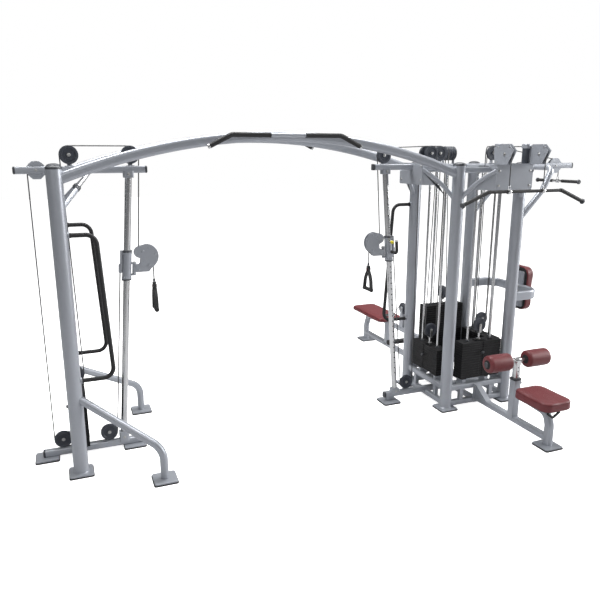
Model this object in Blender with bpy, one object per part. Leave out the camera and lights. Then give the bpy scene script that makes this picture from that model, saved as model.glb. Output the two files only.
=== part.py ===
"""Multi station home gym: a four-stack core tower joined by two arched tubes to an end tower.

Blender 4.5 script, metres, +Z up. The plan frame used below has its origin on the floor in the
middle of the core tower, X along the arch (the end tower is at -X), Y from the pulldown seat
(-Y) to the row bench (+Y). Every object hangs on one empty that moves the plan frame so that
the row's origin is the middle of the object's footprint, on the floor.
"""

import math

import bmesh
import bpy
from mathutils import Matrix, Vector

# ---------------------------------------------------------------- driving dimensions
GAP = 0.0003                      # clearance between touching pieces

POST_RADIUS = 0.054
POST_WALL = 0.004
POST_TOP = 2.262
POST_CAP = 0.016                  # height of the domed cap
POST_PLATE = 0.18                 # side of the square base plate
POST_Y = 0.34                     # all posts stand at +-POST_Y
CORE_X = 0.335                    # core posts at +-CORE_X
END_X = -3.59                     # end posts
PLATE_THICK = 0.02

ARCH_SPRING_Z = 2.172             # arch centreline at the posts
ARCH_CROWN_Z = 2.478
ARCH_WIDTH = 0.060
ARCH_HEIGHT = 0.076

PULL_UP_Y = 0.485
PULL_UP_Z = 2.482
PULL_UP_HALF = 0.603
PULL_UP_BEND = 0.43
PULL_UP_DROP = 0.085
PULL_UP_RADIUS = 0.017

BEAM = 0.052                      # square tube of the beams
RAIL = 0.050                      # square tube of the base rails
TOP_BEAM_Z = 2.235
END_BEAM_OUTER_X = -3.86
END_TOP_INNER_X = -2.93
END_BASE_INNER_X = -3.07
END_BASE_BEAM_Z = 0.045           # lies on its two foot plates
END_FEET_X = (-3.83, -3.16)
CORE_BASE_BEAM_Z = 0.08
CORE_BEAM_OUTER_X = 1.26
CORE_BEAM_INNER_X = -1.00
CORE_BASE_INNER_X = -0.81

PULLEY_RADIUS = 0.0675
PULLEY_GROOVE = 0.0545            # radius at the bottom of the V
PULLEY_WIDTH = 0.024
WRAP_RADIUS = 0.064               # cable centreline round a pulley
CABLE_RADIUS = 0.0035
AXLE_RADIUS = 0.0063

COLUMN_RADIUS = 0.025
COLUMN_LOW_Z = 0.1
END_COLUMN_FOOT_X = -3.24
END_COLUMN_LEAN = 0.081           # metres of X per metre of Z
CORE_COLUMN_FOOT_X = -0.69
CORE_COLUMN_LEAN = -0.0857
CARRIAGE_LOW_Z = 1.40
CARRIAGE_HIGH_Z = 1.615
ARM_REACH = 0.14                  # column axis to the middle of the swivel guard
ARM_Z = 1.565
HINGE_REACH = 0.056               # column axis to the swivel pin

STACK_LENGTH = 0.44
STACK_DEPTH = 0.12
STACK_OFFSET = 0.285              # core centre to the middle of each stack
STACK_BASE_Z = 0.27
ROD_RADIUS = 0.0105
ROD_SPACING = 0.26
ROD_TOP_Z = 2.195
HEAD_HEIGHT = 0.12                # the plates picked up by the selector pin

LAT_CABLE_X = 0.175
LAT_CABLE_Y = -0.80
LAT_BAR_Z = 2.05
LAT_FOOT_Y = -1.30
THIGH_POST_Y = -0.87
THIGH_AXLE_Z = 0.61
LAT_PAD_FRONT_Y = -1.40
LAT_PAD_BACK_Y = -0.995
LAT_PAD_LOW_Z = 0.345
LAT_PAD_TOP_Z = 0.425
ROW_PAD_FRONT_Y = 1.28
ROW_PAD_BACK_Y = 2.02
ROW_FOOT_Y = 1.90

FOOT_PLATE = 0.18
BENCH_TOP_Z = 0.45

ORIGIN_X = (END_FEET_X[0] - FOOT_PLATE / 2 + CORE_BEAM_OUTER_X) / 2
ORIGIN_Y = (LAT_PAD_FRONT_Y + ROW_PAD_BACK_Y) / 2

ROUND = 12                        # sides of an ordinary round tube
FINE = 16                         # sides of a post, a column or a turning pulley
DISC = 12                         # sides of a pulley that is part of a frame

# name, (red, green, blue), roughness, metallic
FINISHES = {
    "frame_paint": ((0.40, 0.42, 0.46), 0.38, 0.55),
    "chrome": ((0.62, 0.63, 0.64), 0.18, 1.0),
    "black_grip": ((0.02, 0.02, 0.02), 0.75, 0.0),
    "pulley_plastic": ((0.05, 0.055, 0.07), 0.5, 0.0),
    "stack_iron": ((0.03, 0.03, 0.032), 0.6, 0.3),
    "upholstery": ((0.23, 0.03, 0.04), 0.5, 0.0),
    "cable_black": ((0.08, 0.08, 0.085), 0.4, 0.0),
    "pin_yellow": ((0.75, 0.68, 0.05), 0.4, 0.0),
}


# ---------------------------------------------------------------- shapes (bmesh)
def circle(radius, sides=ROUND):
    """Section points of a round bar."""
    turns = [2 * math.pi * (i + 0.5) / sides for i in range(sides)]
    return [(radius * math.cos(t), radius * math.sin(t)) for t in turns]


def rounded(width, height, radius, steps=1):
    """Section points of a rectangular tube with rounded corners, width across, height up."""
    points = []
    for quarter, (sx, sy) in enumerate([(1, 1), (-1, 1), (-1, -1), (1, -1)]):
        cx = sx * (width / 2 - radius)
        cy = sy * (height / 2 - radius)
        for step in range(steps + 1):
            turn = math.pi / 2 * (quarter + step / steps)
            points.append((cx + radius * math.cos(turn), cy + radius * math.sin(turn)))
    return points


def bent(corners, radius, steps=5):
    """A path through corners whose inner corners are rounded to radius."""
    corners = [Vector(c) for c in corners]
    path = [corners[0]]
    for before, corner, after in zip(corners, corners[1:], corners[2:]):
        d0 = (corner - before).normalized()
        d1 = (after - corner).normalized()
        turn = d0.angle(d1)
        side = (d1 - d0 * d0.dot(d1)).normalized()
        start = corner - d0 * radius * math.tan(turn / 2)
        centre = start + side * radius
        for step in range(steps + 1):
            a = turn * step / steps
            path.append(centre - side * radius * math.cos(a) + d0 * radius * math.sin(a))
    return path + [corners[-1]]


def sweep(path, section, side=(0, 1, 0)):
    """Carry a closed section along a path with mitred corners and capped ends."""
    points = [Vector(p) for p in path]
    runs = [(b - a).normalized() for a, b in zip(points, points[1:])]
    across = Vector(side)
    across = (across - runs[0] * across.dot(runs[0])).normalized()
    up = runs[0].cross(across)
    shape = bmesh.new()
    rings = []
    for i, point in enumerate(points):
        before = runs[max(i - 1, 0)]
        after = runs[min(i, len(runs) - 1)]
        plane = (before + after).normalized()
        ring = []
        for a, b in section:
            offset = across * a + up * b
            offset -= before * (offset.dot(plane) / before.dot(plane))
            ring.append(shape.verts.new(point + offset))
        rings.append(ring)
        turn = before.rotation_difference(after)
        across.rotate(turn)
        up.rotate(turn)
    for low, high in zip(rings, rings[1:]):
        for i in range(len(section)):
            j = (i + 1) % len(section)
            shape.faces.new((low[i], low[j], high[j], high[i]))
    shape.faces.new(rings[0][::-1])
    shape.faces.new(rings[-1])
    bmesh.ops.recalc_face_normals(shape, faces=shape.faces)
    return shape


def rod(start, end, radius, sides=ROUND):
    return sweep([start, end], circle(radius, sides), any_side(start, end))


def any_side(start, end):
    """A direction that isn't along the line."""
    return (0, 1, 0) if abs(end[1] - start[1]) < 0.5 * math.dist(start, end) else (1, 0, 0)


def tube(path, width, height, side=(0, 1, 0)):
    """A plain rectangular tube."""
    w, h = width / 2, height / 2
    return sweep(path, [(w, h), (-w, h), (-w, -h), (w, -h)], side)


def box(low, high):
    shape = bmesh.new()
    bmesh.ops.create_cube(shape, size=1)
    middle = (Vector(low) + Vector(high)) / 2
    size = Vector(high) - Vector(low)
    bmesh.ops.transform(shape, matrix=Matrix.Translation(middle) @ Matrix.Diagonal((*size, 1)), verts=shape.verts)
    return shape


def slab(outline, axis, low, high):
    """Extrude a 2-D outline along axis (0 X, 1 Y, 2 Z) from low to high."""
    others = [k for k in range(3) if k != axis]
    shape = bmesh.new()
    ends = []
    for level in (low, high):
        ring = []
        for a, b in outline:
            point = [0.0, 0.0, 0.0]
            point[axis] = level
            point[others[0]] = a
            point[others[1]] = b
            ring.append(shape.verts.new(point))
        ends.append(ring)
        shape.faces.new(ring)
    count = len(outline)
    for i in range(count):
        j = (i + 1) % count
        shape.faces.new((ends[0][i], ends[0][j], ends[1][j], ends[1][i]))
    bmesh.ops.recalc_face_normals(shape, faces=shape.faces)
    return shape


def lathe(profile, centre, axis, sides=FINE):
    """Turn a (radius, offset) profile round an axis. The ends lie on the axis, or it is a loop."""
    shape = bmesh.new()
    spin = Vector(axis).to_track_quat("Z", "Y")
    rings = []
    for radius, level in profile:
        if radius < 1e-9:
            rings.append([shape.verts.new(Vector(centre) + spin @ Vector((0, 0, level)))])
            continue
        turns = [2 * math.pi * (i + 0.5) / sides for i in range(sides)]
        spots = [Vector((radius * math.cos(t), radius * math.sin(t), level)) for t in turns]
        rings.append([shape.verts.new(Vector(centre) + spin @ p) for p in spots])
    loop = len(rings[0]) > 1
    pairs = list(zip(rings, rings[1:])) + ([(rings[-1], rings[0])] if loop else [])
    for one, two in pairs:
        for i in range(sides):
            j = (i + 1) % sides
            corners = [one[i % len(one)], one[j % len(one)], two[j % len(two)], two[i % len(two)]]
            shape.faces.new(list(dict.fromkeys(corners)))
    bmesh.ops.recalc_face_normals(shape, faces=shape.faces)
    return shape


def wheel(centre, axis, radius=PULLEY_RADIUS, groove=PULLEY_GROOVE, half=PULLEY_WIDTH / 2, bore=0.0, sides=DISC):
    """A pulley: a disc with a V groove round its rim, bored or solid."""
    rim = [(bore, half), (radius, half), (groove, 0), (radius, -half), (bore, -half)]
    return lathe(rim, centre, axis, sides)


def ngon(radius, sides, middle=(0.0, 0.0), turn=0.5):
    spots = [2 * math.pi * (i + turn) / sides for i in range(sides)]
    return [(middle[0] + radius * math.cos(t), middle[1] + radius * math.sin(t)) for t in spots]


# ---------------------------------------------------------------- objects
MATERIALS = {}
SCENE = bpy.context.scene


def clear():
    for obj in list(bpy.data.objects):
        bpy.data.objects.remove(obj, do_unlink=True)


def finish_of(name):
    if name not in MATERIALS:
        color, rough, metal = FINISHES[name]
        made = bpy.data.materials.new(name)
        made.use_nodes = True
        shader = made.node_tree.nodes["Principled BSDF"]
        shader.inputs["Base Color"].default_value = (*color, 1)
        shader.inputs["Roughness"].default_value = rough
        shader.inputs["Metallic"].default_value = metal
        MATERIALS[name] = made
    return MATERIALS[name]


def loose(shape):
    """A scratch object that holds one shape while it is welded or cut."""
    mesh = bpy.data.meshes.new("scratch")
    shape.to_mesh(mesh)
    shape.free()
    obj = bpy.data.objects.new("scratch", mesh)
    SCENE.collection.objects.link(obj)
    return obj


def weld(shapes, cuts=()):
    """Union all the shapes, take the cuts away, and return one mesh."""
    base = loose(shapes[0])
    tools = []
    for operation, group in (("UNION", shapes[1:]), ("DIFFERENCE", cuts)):
        for shape in group:
            tool = loose(shape)
            step = base.modifiers.new(operation, "BOOLEAN")
            step.operation = operation
            step.object = tool
            tools.append(tool)
    seen = base.evaluated_get(bpy.context.evaluated_depsgraph_get())
    mesh = bpy.data.meshes.new_from_object(seen)
    for obj in [base, *tools]:
        bpy.data.objects.remove(obj, do_unlink=True)
    return mesh


def piece(name, shapes, finish, cuts=(), pivot=(0, 0, 0)):
    """One named solid of the object, its origin at pivot."""
    mesh = weld(shapes, cuts)
    mesh.name = name
    mesh.transform(Matrix.Translation(-Vector(pivot)))
    mesh.materials.clear()
    mesh.materials.append(finish_of(finish))
    mesh.shade_smooth()
    mesh.set_sharp_from_angle(angle=math.radians(32))
    obj = bpy.data.objects.new(name, mesh)
    SCENE.collection.objects.link(obj)
    obj.parent = PLAN
    obj.location = pivot
    return obj


def post_clearances(posts, extra=GAP):
    return [rod((x, y, -0.02), (x, y, 2.5), POST_RADIUS + extra, FINE) for x, y in posts]


CORE_POSTS = [(x, y) for x in (-CORE_X, CORE_X) for y in (-POST_Y, POST_Y)]
END_POSTS = [(END_X, -POST_Y), (END_X, POST_Y)]


# ---------------------------------------------------------------- posts and arches
def make_post(name, x, y):
    """A round tube with a domed cap, welded to a square plate and open underneath."""
    dome = [(0, POST_TOP + POST_CAP), (0.03, POST_TOP + POST_CAP - 0.003), (POST_RADIUS, POST_TOP)]
    tower = lathe([*dome, (POST_RADIUS, 0.01), (0, 0.01)], (x, y, 0), (0, 0, 1))
    half = POST_PLATE / 2
    plate = box((x - half, y - half, 0), (x + half, y + half, PLATE_THICK))
    bore = rod((x, y, -0.01), (x, y, POST_TOP - 0.004), POST_RADIUS - POST_WALL, FINE)
    piece(name, [plate, tower], "frame_paint", [bore])


def arch_path(steps=10):
    """Points of the arc over the opening, from the end post to the core post."""
    left = END_X
    right = -CORE_X
    half = (right - left) / 2
    rise = ARCH_CROWN_Z - ARCH_SPRING_Z
    radius = (half * half + rise * rise) / (2 * rise)
    middle = (left + right) / 2
    sweep_half = math.asin(half / radius)
    turns = [sweep_half * (2 * i / steps - 1) for i in range(steps + 1)]
    low = ARCH_CROWN_Z - radius
    return [(middle + radius * math.sin(t), low + radius * math.cos(t)) for t in turns]


def make_arch(name, y):
    path = [(x, y, z) for x, z in arch_path()]
    section = rounded(ARCH_WIDTH, ARCH_HEIGHT, 0.026, 2)
    posts = [(END_X, y), (-CORE_X, y)]
    piece(name, [sweep(path, section)], "frame_paint", post_clearances(posts))


def make_pull_up_bar(name, side):
    """A bar outboard of an arch tube, on two short arms, with drooping ends."""
    y = side * PULL_UP_Y
    middle = (END_X - CORE_X) / 2
    corners = [
        (middle - PULL_UP_HALF, y, PULL_UP_Z - PULL_UP_DROP),
        (middle - PULL_UP_BEND, y, PULL_UP_Z),
        (middle + PULL_UP_BEND, y, PULL_UP_Z),
        (middle + PULL_UP_HALF, y, PULL_UP_Z - PULL_UP_DROP),
    ]
    bar = sweep(bent(corners, 0.06, 2), circle(PULL_UP_RADIUS))
    inner = side * (POST_Y + ARCH_WIDTH / 2 + GAP)
    arms = []
    for x in (middle - 0.07, middle + 0.07):
        arms.append(rod((x, inner, PULL_UP_Z - 0.004), (x, y, PULL_UP_Z - 0.004), 0.012, 8))
    piece(name, [bar, *arms], "black_grip")


def make_grab_rail(name, x, y, out, top, bottom, top_reach, bottom_reach):
    """A U-shaped rail on a post, reaching out along X by more at its bottom than its top."""
    corners = [
        (x, y, top),
        (x + out * top_reach, y, top),
        (x + out * bottom_reach, y, bottom),
        (x, y, bottom),
    ]
    rail = sweep(bent(corners, 0.075, 4), circle(0.016, 10))
    piece(name, [rail], "black_grip", post_clearances([(x, y)]))


# ---------------------------------------------------------------- pulley mounts
HOUSING_SLOT = 0.018              # half width of the slot round a housed pulley


def pulley_bracket(x, z, base_z, y=0.0):
    """A rear cheek plate with an axle that carries a pulley in an XZ plane."""
    back = y + PULLEY_WIDTH / 2 + 0.002
    cheek = box((x - 0.016, back, base_z), (x + 0.016, back + 0.006, z + 0.02))
    axle = rod((x, y - PULLEY_WIDTH / 2 - 0.006, z), (x, back + 0.003, z), AXLE_RADIUS, 6)
    foot = box((x - 0.03, min(y, 0) - 0.02, base_z - 0.004), (x + 0.03, back + 0.0065, base_z + 0.004))
    return [cheek, axle, foot]


def fixed_pulley(x, z, base_z, y=0.0):
    return [*pulley_bracket(x, z, base_z, y), wheel((x, y, z), (0, 1, 0))]


def housed_pulley(x, z, guard_radius):
    """A pulley between two guard plates, all on one axle in a slot of a beam."""
    guards = []
    for side in (-1, 1):
        low, high = sorted((side * 0.0125, side * 0.0165))
        guards.append(slab(ngon(guard_radius, 8, (x, z)), 1, low, high))
    axle = rod((x, -HOUSING_SLOT - 0.003, z), (x, HOUSING_SLOT + 0.003, z), AXLE_RADIUS, 6)
    return [*guards, axle, wheel((x, 0, z), (0, 1, 0), 0.0635, 0.051, 0.009)]


def slot(x0, x1, z0, z1, half=0.009, y=0.0):
    return box((x0, y - half, z0), (x1, y + half, z1))


def make_pulley(name, x, z):
    disc = wheel((x, 0, z), (0, 1, 0), bore=AXLE_RADIUS + 0.0008, sides=FINE)
    piece(name, [disc], "pulley_plastic", pivot=(x, 0, z))


# ---------------------------------------------------------------- end tower
END_TOP_PULLEYS = {"outer": (-3.48, 2.342), "inner": (-3.05, 2.342)}
END_LOW_PULLEYS = {"outer": (-3.702, 0.145), "inner": (-3.352, 0.145)}
END_HOUSED_X = -3.706
END_STACK_X = -3.57
END_FLOAT_Z = 0.67
END_STACK_TOP = 0.52


def make_end_top_beam():
    """The beam over the end stack and column, with its slots, pulley mounts and braces."""
    beam = tube([(END_BEAM_OUTER_X, 0, TOP_BEAM_Z), (END_TOP_INNER_X, 0, TOP_BEAM_Z)], BEAM, BEAM)
    cross = tube([(END_X, -POST_Y, TOP_BEAM_Z - 0.012), (END_X, POST_Y, TOP_BEAM_Z - 0.012)], 0.05, 0.05, side=(1, 0, 0))
    shapes = [beam, cross]
    for side in (-1, 1):
        start = (END_X + 0.02, side * POST_Y, 1.97)
        end = (-3.34, side * 0.018, TOP_BEAM_Z - 0.01)
        shapes.append(rod(start, end, 0.012, 8))
    for x, z in END_TOP_PULLEYS.values():
        shapes += pulley_bracket(x, z, TOP_BEAM_Z + BEAM / 2)
    column_x = END_COLUMN_FOOT_X + END_COLUMN_LEAN * (2.19 - COLUMN_LOW_Z)
    shapes.append(box((column_x - 0.038, -0.034, 2.175), (column_x + 0.038, 0.034, TOP_BEAM_Z - 0.01)))
    low = TOP_BEAM_Z - 0.08
    high = TOP_BEAM_Z + 0.08
    cuts = [
        slot(END_HOUSED_X - 0.072, END_HOUSED_X + 0.072, low, high, HOUSING_SLOT),
        slot(-3.555, -3.515, low, high, 0.006),
        slot(-3.0, -2.97, low, high, 0.006),
        column_clearance(END_COLUMN_FOOT_X, END_COLUMN_LEAN),
        *post_clearances(END_POSTS),
    ]
    beam_parts = [loose_copy(weld(shapes, cuts)), *housed_pulley(END_HOUSED_X, TOP_BEAM_Z, 0.068)]
    piece("end_top_beam", beam_parts, "frame_paint")


def loose_copy(mesh):
    """A bmesh of a finished mesh, so that more can be welded on after its cuts."""
    shape = bmesh.new()
    shape.from_mesh(mesh)
    bpy.data.meshes.remove(mesh)
    return shape


def column_clearance(foot_x, lean):
    """The room round a cable column, up to its two sockets."""
    low = (foot_x, 0, COLUMN_LOW_Z)
    high = (foot_x + lean * (TOP_BEAM_Z - BEAM / 2 - COLUMN_LOW_Z), 0, TOP_BEAM_Z - BEAM / 2)
    return rod(low, high, COLUMN_RADIUS + GAP, FINE)


def make_column(name, foot_x, lean):
    low_z = CORE_BASE_BEAM_Z + BEAM / 2 + 0.006
    high_z = TOP_BEAM_Z - BEAM / 2 - 0.006
    low = (foot_x + lean * (low_z - COLUMN_LOW_Z), 0, low_z)
    high = (foot_x + lean * (high_z - COLUMN_LOW_Z), 0, high_z)
    piece(name, [rod(low, high, COLUMN_RADIUS, FINE)], "chrome")


def foot_plate(x, y, size=FOOT_PLATE):
    return box((x - size / 2, y - size / 2, 0), (x + size / 2, y + size / 2, PLATE_THICK))


def make_end_base_beam():
    """The floor beam under the end stack and column, on two feet."""
    base_z = END_BASE_BEAM_Z
    beam = tube([(END_BEAM_OUTER_X, 0, base_z), (END_BASE_INNER_X, 0, base_z)], BEAM, BEAM)
    cross = tube([(END_X, -POST_Y, base_z), (END_X, POST_Y, base_z)], 0.05, 0.05, side=(1, 0, 0))
    shapes = [beam, cross, *[foot_plate(x, 0) for x in END_FEET_X]]
    for x, z in END_LOW_PULLEYS.values():
        shapes += pulley_bracket(x, z, base_z + BEAM / 2 - 0.001)
    for side in (-1, 1):
        y0, y1 = sorted((side * 0.10, side * 0.22))
        shapes.append(box((END_STACK_X - 0.04, y0, base_z), (END_STACK_X + 0.03, y1, 0.15)))
    shapes.append(box((END_COLUMN_FOOT_X - 0.038, -0.034, base_z), (END_COLUMN_FOOT_X + 0.038, 0.034, 0.135)))
    cuts = [column_clearance(END_COLUMN_FOOT_X, END_COLUMN_LEAN), *post_clearances(END_POSTS)]
    piece("end_base_beam", shapes, "frame_paint", [*cuts, *plate_clearances(END_POSTS)])


def plate_clearances(posts):
    half = POST_PLATE / 2 + GAP
    return [box((x - half, y - half, -0.01), (x + half, y + half, PLATE_THICK + GAP)) for x, y in posts]


def make_end_leg(name, side):
    """A bent leg from an end post to a foot plate out in the opening."""
    foot = Vector((-3.02, side * 0.67, 0))
    root = Vector((END_X, side * POST_Y, 0))
    corners = [root + Vector((0, 0, 0.62)), foot + Vector((0, 0, 0.25)), foot + Vector((0, 0, 0.01))]
    along = (foot - root).normalized()
    leg = sweep(bent(corners, 0.15, 6), rounded(0.05, 0.056, 0.014), (-along.y, along.x, 0))
    piece(name, [leg, foot_plate(foot.x, foot.y)], "frame_paint", post_clearances([(END_X, side * POST_Y)]))


# ---------------------------------------------------------------- core tower
CORE_TOP_PULLEY = (-0.89, 2.335)
CORE_LOW_PULLEY = (-0.565, 0.18)
COLUMN_STACK_GUIDES = [(-0.413, 2.352, -0.016), (-0.285, 2.352, 0.036), (-0.437, 2.352, 0.036)]
TRICEPS_HOUSED_X = 1.04
TRICEPS_GUIDE = (0.281, 2.357)
LAT_DROP_Y = -0.285
LAT_ROLLER_Y = -0.60
LAT_ROLLER_RADIUS = 0.030
ROW_TOP_Y = 0.372
ROW_TOP_Z = 2.352
HOOD_HALF = 0.19
FRONT_HOOD = (0, 0.65, 2.05)      # quarter turns from -Y, reach, height of the lower edge
LEFT_HOOD = (3, 0.607, 2.083)


def turned(shape, quarter):
    """Turn a shape by quarter turns round the core's axis."""
    bmesh.ops.rotate(shape, cent=(0, 0, 0), matrix=Matrix.Rotation(quarter * math.pi / 2, 3, "Z"), verts=shape.verts)
    return shape


def hood(quarter, reach, low_z):
    """A front plate held out from two posts by curved arms, made for -Y and turned into place."""
    plate = box((-HOOD_HALF, -reach, low_z), (HOOD_HALF, -reach + 0.008, 2.27))
    stem = tube([(0, -reach + 0.004, TOP_BEAM_Z - 0.004), (0, -0.2, TOP_BEAM_Z - 0.004)], 0.05, 0.05, side=(1, 0, 0))
    shapes = [plate, stem]
    for side in (-1, 1):
        root = Vector((side * CORE_X, -POST_Y, 1.93))
        tip = Vector((side * (HOOD_HALF - 0.012), -reach + 0.004, 2.215))
        lift = root.lerp(tip, 0.36)
        lift.z = 2.10
        arm = [root.lerp(lift, t).lerp(lift.lerp(tip, t), t) for t in (0, 0.25, 0.5, 0.75, 1)]
        out = Vector((tip.x - root.x, tip.y - root.y, 0)).normalized()
        shapes.append(sweep(arm, rounded(0.036, 0.036, 0.012), (-out.y, out.x, 0)))
        shapes.append(web(root, tip, out, low_z))
    return [turned(shape, quarter) for shape in shapes]


def web(root, tip, out, low_z):
    """The thin plate between a curved arm and the hood's lower edge."""
    reach = math.hypot(tip.x - root.x, tip.y - root.y)
    outline = [(0.10, 1.99), (0.16, low_z), (reach + 0.002, low_z), (reach + 0.002, 2.20), (0.20, 2.12)]
    shape = slab(outline, 1, -0.003, 0.003)
    angle = math.atan2(out.y, out.x)
    place = Matrix.Translation((root.x, root.y, 0)) @ Matrix.Rotation(angle, 4, "Z")
    bmesh.ops.transform(shape, matrix=place, verts=shape.verts)
    return shape


def core_ring(z, size=RAIL):
    """Four rails that join the core posts at one level."""
    shapes = []
    for side in (-1, 1):
        y = side * POST_Y
        x = side * CORE_X
        shapes.append(tube([(-CORE_X, y, z), (CORE_X, y, z)], size, size))
        shapes.append(tube([(x, -POST_Y, z), (x, POST_Y, z)], size, size, side=(1, 0, 0)))
    return shapes


def triceps_brace():
    """A bent tube from the right-hand posts up and out, across under the beam and back."""
    half = [(CORE_X, 1.74), (0.60, 2.02), (0.695, 2.225)]
    corners = [(x, -POST_Y, z) for x, z in half] + [(x, POST_Y, z) for x, z in half[::-1]]
    return sweep(bent(corners, 0.05, 4), rounded(0.05, 0.05, 0.018), (0, 1, 0))


def lat_housing(side):
    """A six-sided guard box round each pulldown pulley, open below and behind."""
    x = side * LAT_CABLE_X
    outline = [(-0.60, 2.395), (-0.66, 2.426), (-0.775, 2.426), (-0.835, 2.375), (-0.775, 2.265), (-0.62, 2.262)]
    shapes = []
    for offset in (-0.019, 0.014):
        shapes.append(slab(outline, 0, x + offset, x + offset + 0.005))
    shapes.append(box((x - 0.017, -0.655, 2.262), (x + 0.017, -0.625, 2.30)))
    hub = Vector((x, LAT_CABLE_Y + WRAP_RADIUS, 2.345))
    shapes.append(rod(hub - Vector((0.0205, 0, 0)), hub + Vector((0.0205, 0, 0)), AXLE_RADIUS, 6))
    shapes.append(wheel((x, LAT_CABLE_Y + WRAP_RADIUS, 2.345), (1, 0, 0), half=0.009))
    roller = Vector((side * (LAT_CABLE_X - LAT_ROLLER_RADIUS - CABLE_RADIUS - GAP), LAT_ROLLER_Y, 0))
    for low, high, radius in ((2.24, 2.42, LAT_ROLLER_RADIUS), (2.417, 2.428, LAT_ROLLER_RADIUS + 0.005)):
        shapes.append(rod(roller + Vector((0, 0, low)), roller + Vector((0, 0, high)), radius))
    shapes.append(box((roller.x - 0.05, -0.648, 2.235), (roller.x + 0.05, -0.55, 2.264)))
    return shapes


def make_core_top_frame():
    """Top rails, the long pulley beam, the hoods, the triceps brace and all fixed pulleys."""
    beam = tube([(CORE_BEAM_INNER_X, 0, TOP_BEAM_Z), (CORE_BEAM_OUTER_X, 0, TOP_BEAM_Z)], BEAM, BEAM)
    cross_z = TOP_BEAM_Z - 0.006
    cross = tube([(0, -POST_Y, cross_z), (0, ROW_TOP_Y + 0.04, cross_z)], 0.05, 0.05, side=(1, 0, 0))
    shapes = [beam, cross, *core_ring(TOP_BEAM_Z - 0.022), *hood(*FRONT_HOOD), *hood(*LEFT_HOOD), triceps_brace()]
    column_x = CORE_COLUMN_FOOT_X + CORE_COLUMN_LEAN * (2.19 - COLUMN_LOW_Z)
    shapes.append(box((column_x - 0.038, -0.034, 2.175), (column_x + 0.038, 0.034, TOP_BEAM_Z - 0.01)))
    low = TOP_BEAM_Z - 0.09
    high = TOP_BEAM_Z + 0.09
    cuts = [
        slot(TRICEPS_HOUSED_X - 0.078, TRICEPS_HOUSED_X + 0.078, low, high, HOUSING_SLOT),
        slot(0.200, 0.235, low, high, 0.006),
        slot(-0.970, -0.940, low, high, 0.006),
        slot(-0.366, -0.333, low, high, 0.009, -0.013),
        column_clearance(CORE_COLUMN_FOOT_X, CORE_COLUMN_LEAN),
        *post_clearances(CORE_POSTS),
        slot(-0.040, -0.014, low, high, 0.012, LAT_DROP_Y),
        box((-0.007, 0.284, low), (0.007, 0.320, high)),
    ]
    frame = loose_copy(weld(shapes, cuts))
    extras = housed_pulley(TRICEPS_HOUSED_X, TOP_BEAM_Z, 0.078)
    top = TOP_BEAM_Z + BEAM / 2
    extras += fixed_pulley(*CORE_TOP_PULLEY, top)
    extras += fixed_pulley(*TRICEPS_GUIDE, top)
    extras += [turned(shape, 1) for shape in fixed_pulley(ROW_TOP_Y, ROW_TOP_Z, cross_z + 0.025)]
    for x, z, y in COLUMN_STACK_GUIDES:
        extras += fixed_pulley(x, z, top, y)
    for side in (-1, 1):
        extras += lat_housing(side)
    piece("core_top_frame", [frame, *extras], "frame_paint")


def make_core_base_frame():
    """Two levels of rails between the core posts, tied by a cross, with the column's foot beam."""
    shapes = [*core_ring(0.05), *core_ring(0.20)]
    shapes.append(tube([(CORE_BASE_INNER_X, 0, CORE_BASE_BEAM_Z), (CORE_X + 0.01, 0, CORE_BASE_BEAM_Z)], BEAM, BEAM))
    shapes.append(tube([(0, -POST_Y - 0.01, 0.05), (0, POST_Y + 0.01, 0.05)], 0.048, 0.048, side=(1, 0, 0)))
    for x in (-0.17, 0.17):
        for side in (-1, 1):
            y = side * POST_Y
            shapes.append(box((x - 0.02, y - 0.018, 0.05), (x + 0.02, y + 0.018, 0.20)))
    for y in (-0.17, 0.17):
        for side in (-1, 1):
            x = side * CORE_X
            shapes.append(box((x - 0.018, y - 0.02, 0.05), (x + 0.018, y + 0.02, 0.20)))
    for quarter in range(4):
        for along in (-0.13, 0.13):
            rest = box((along - 0.02, -0.33, 0.19), (along + 0.02, -0.24, STACK_BASE_Z - GAP))
            shapes.append(turned(rest, quarter))
    shapes.append(foot_plate(-0.75, 0))
    shapes.append(box((-0.78, -0.02, 0.01), (-0.70, 0.02, CORE_BASE_BEAM_Z)))
    socket_low = (CORE_COLUMN_FOOT_X - 0.038, -0.034, CORE_BASE_BEAM_Z)
    shapes.append(box(socket_low, (CORE_COLUMN_FOOT_X + 0.038, 0.034, 0.135)))
    shapes += fixed_pulley(*CORE_LOW_PULLEY, CORE_BASE_BEAM_Z + BEAM / 2 - 0.001)
    cuts = [
        column_clearance(CORE_COLUMN_FOOT_X, CORE_COLUMN_LEAN),
        *post_clearances(CORE_POSTS),
        *plate_clearances(CORE_POSTS),
    ]
    piece("core_base_frame", shapes, "frame_paint", cuts)


# ---------------------------------------------------------------- weight stacks
# station: middle x, y, long axis (0 X, 1 Y), plates' base, plates' top, floating pulley's height
STACKS = {
    "lat": (0.04, LAT_DROP_Y, 0, STACK_BASE_Z, 0.63, 0.77),
    "column": (-STACK_OFFSET, 0.04, 1, STACK_BASE_Z, 0.53, 0.665),
    "row": (0.0, STACK_OFFSET, 0, STACK_BASE_Z, 0.86, 0.975),
    "triceps": (STACK_OFFSET, 0.0, 1, STACK_BASE_Z, 0.60, 0.735),
    "end": (END_STACK_X, 0.0, 1, 0.1503, END_STACK_TOP, END_FLOAT_Z),
}
FLOAT_AXIS = {"lat": (0, 1, 0), "column": (0, 1, 0), "row": (1, 0, 0), "triceps": (0, 1, 0), "end": (0, 1, 0)}


def stack_block(station, low, high, trim=0.0):
    x, y, long_axis = STACKS[station][:3]
    half = [STACK_DEPTH / 2 - trim] * 2
    half[long_axis] = STACK_LENGTH / 2 - trim
    return box((x - half[0], y - half[1], low), (x + half[0], y + half[1], high))


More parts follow.
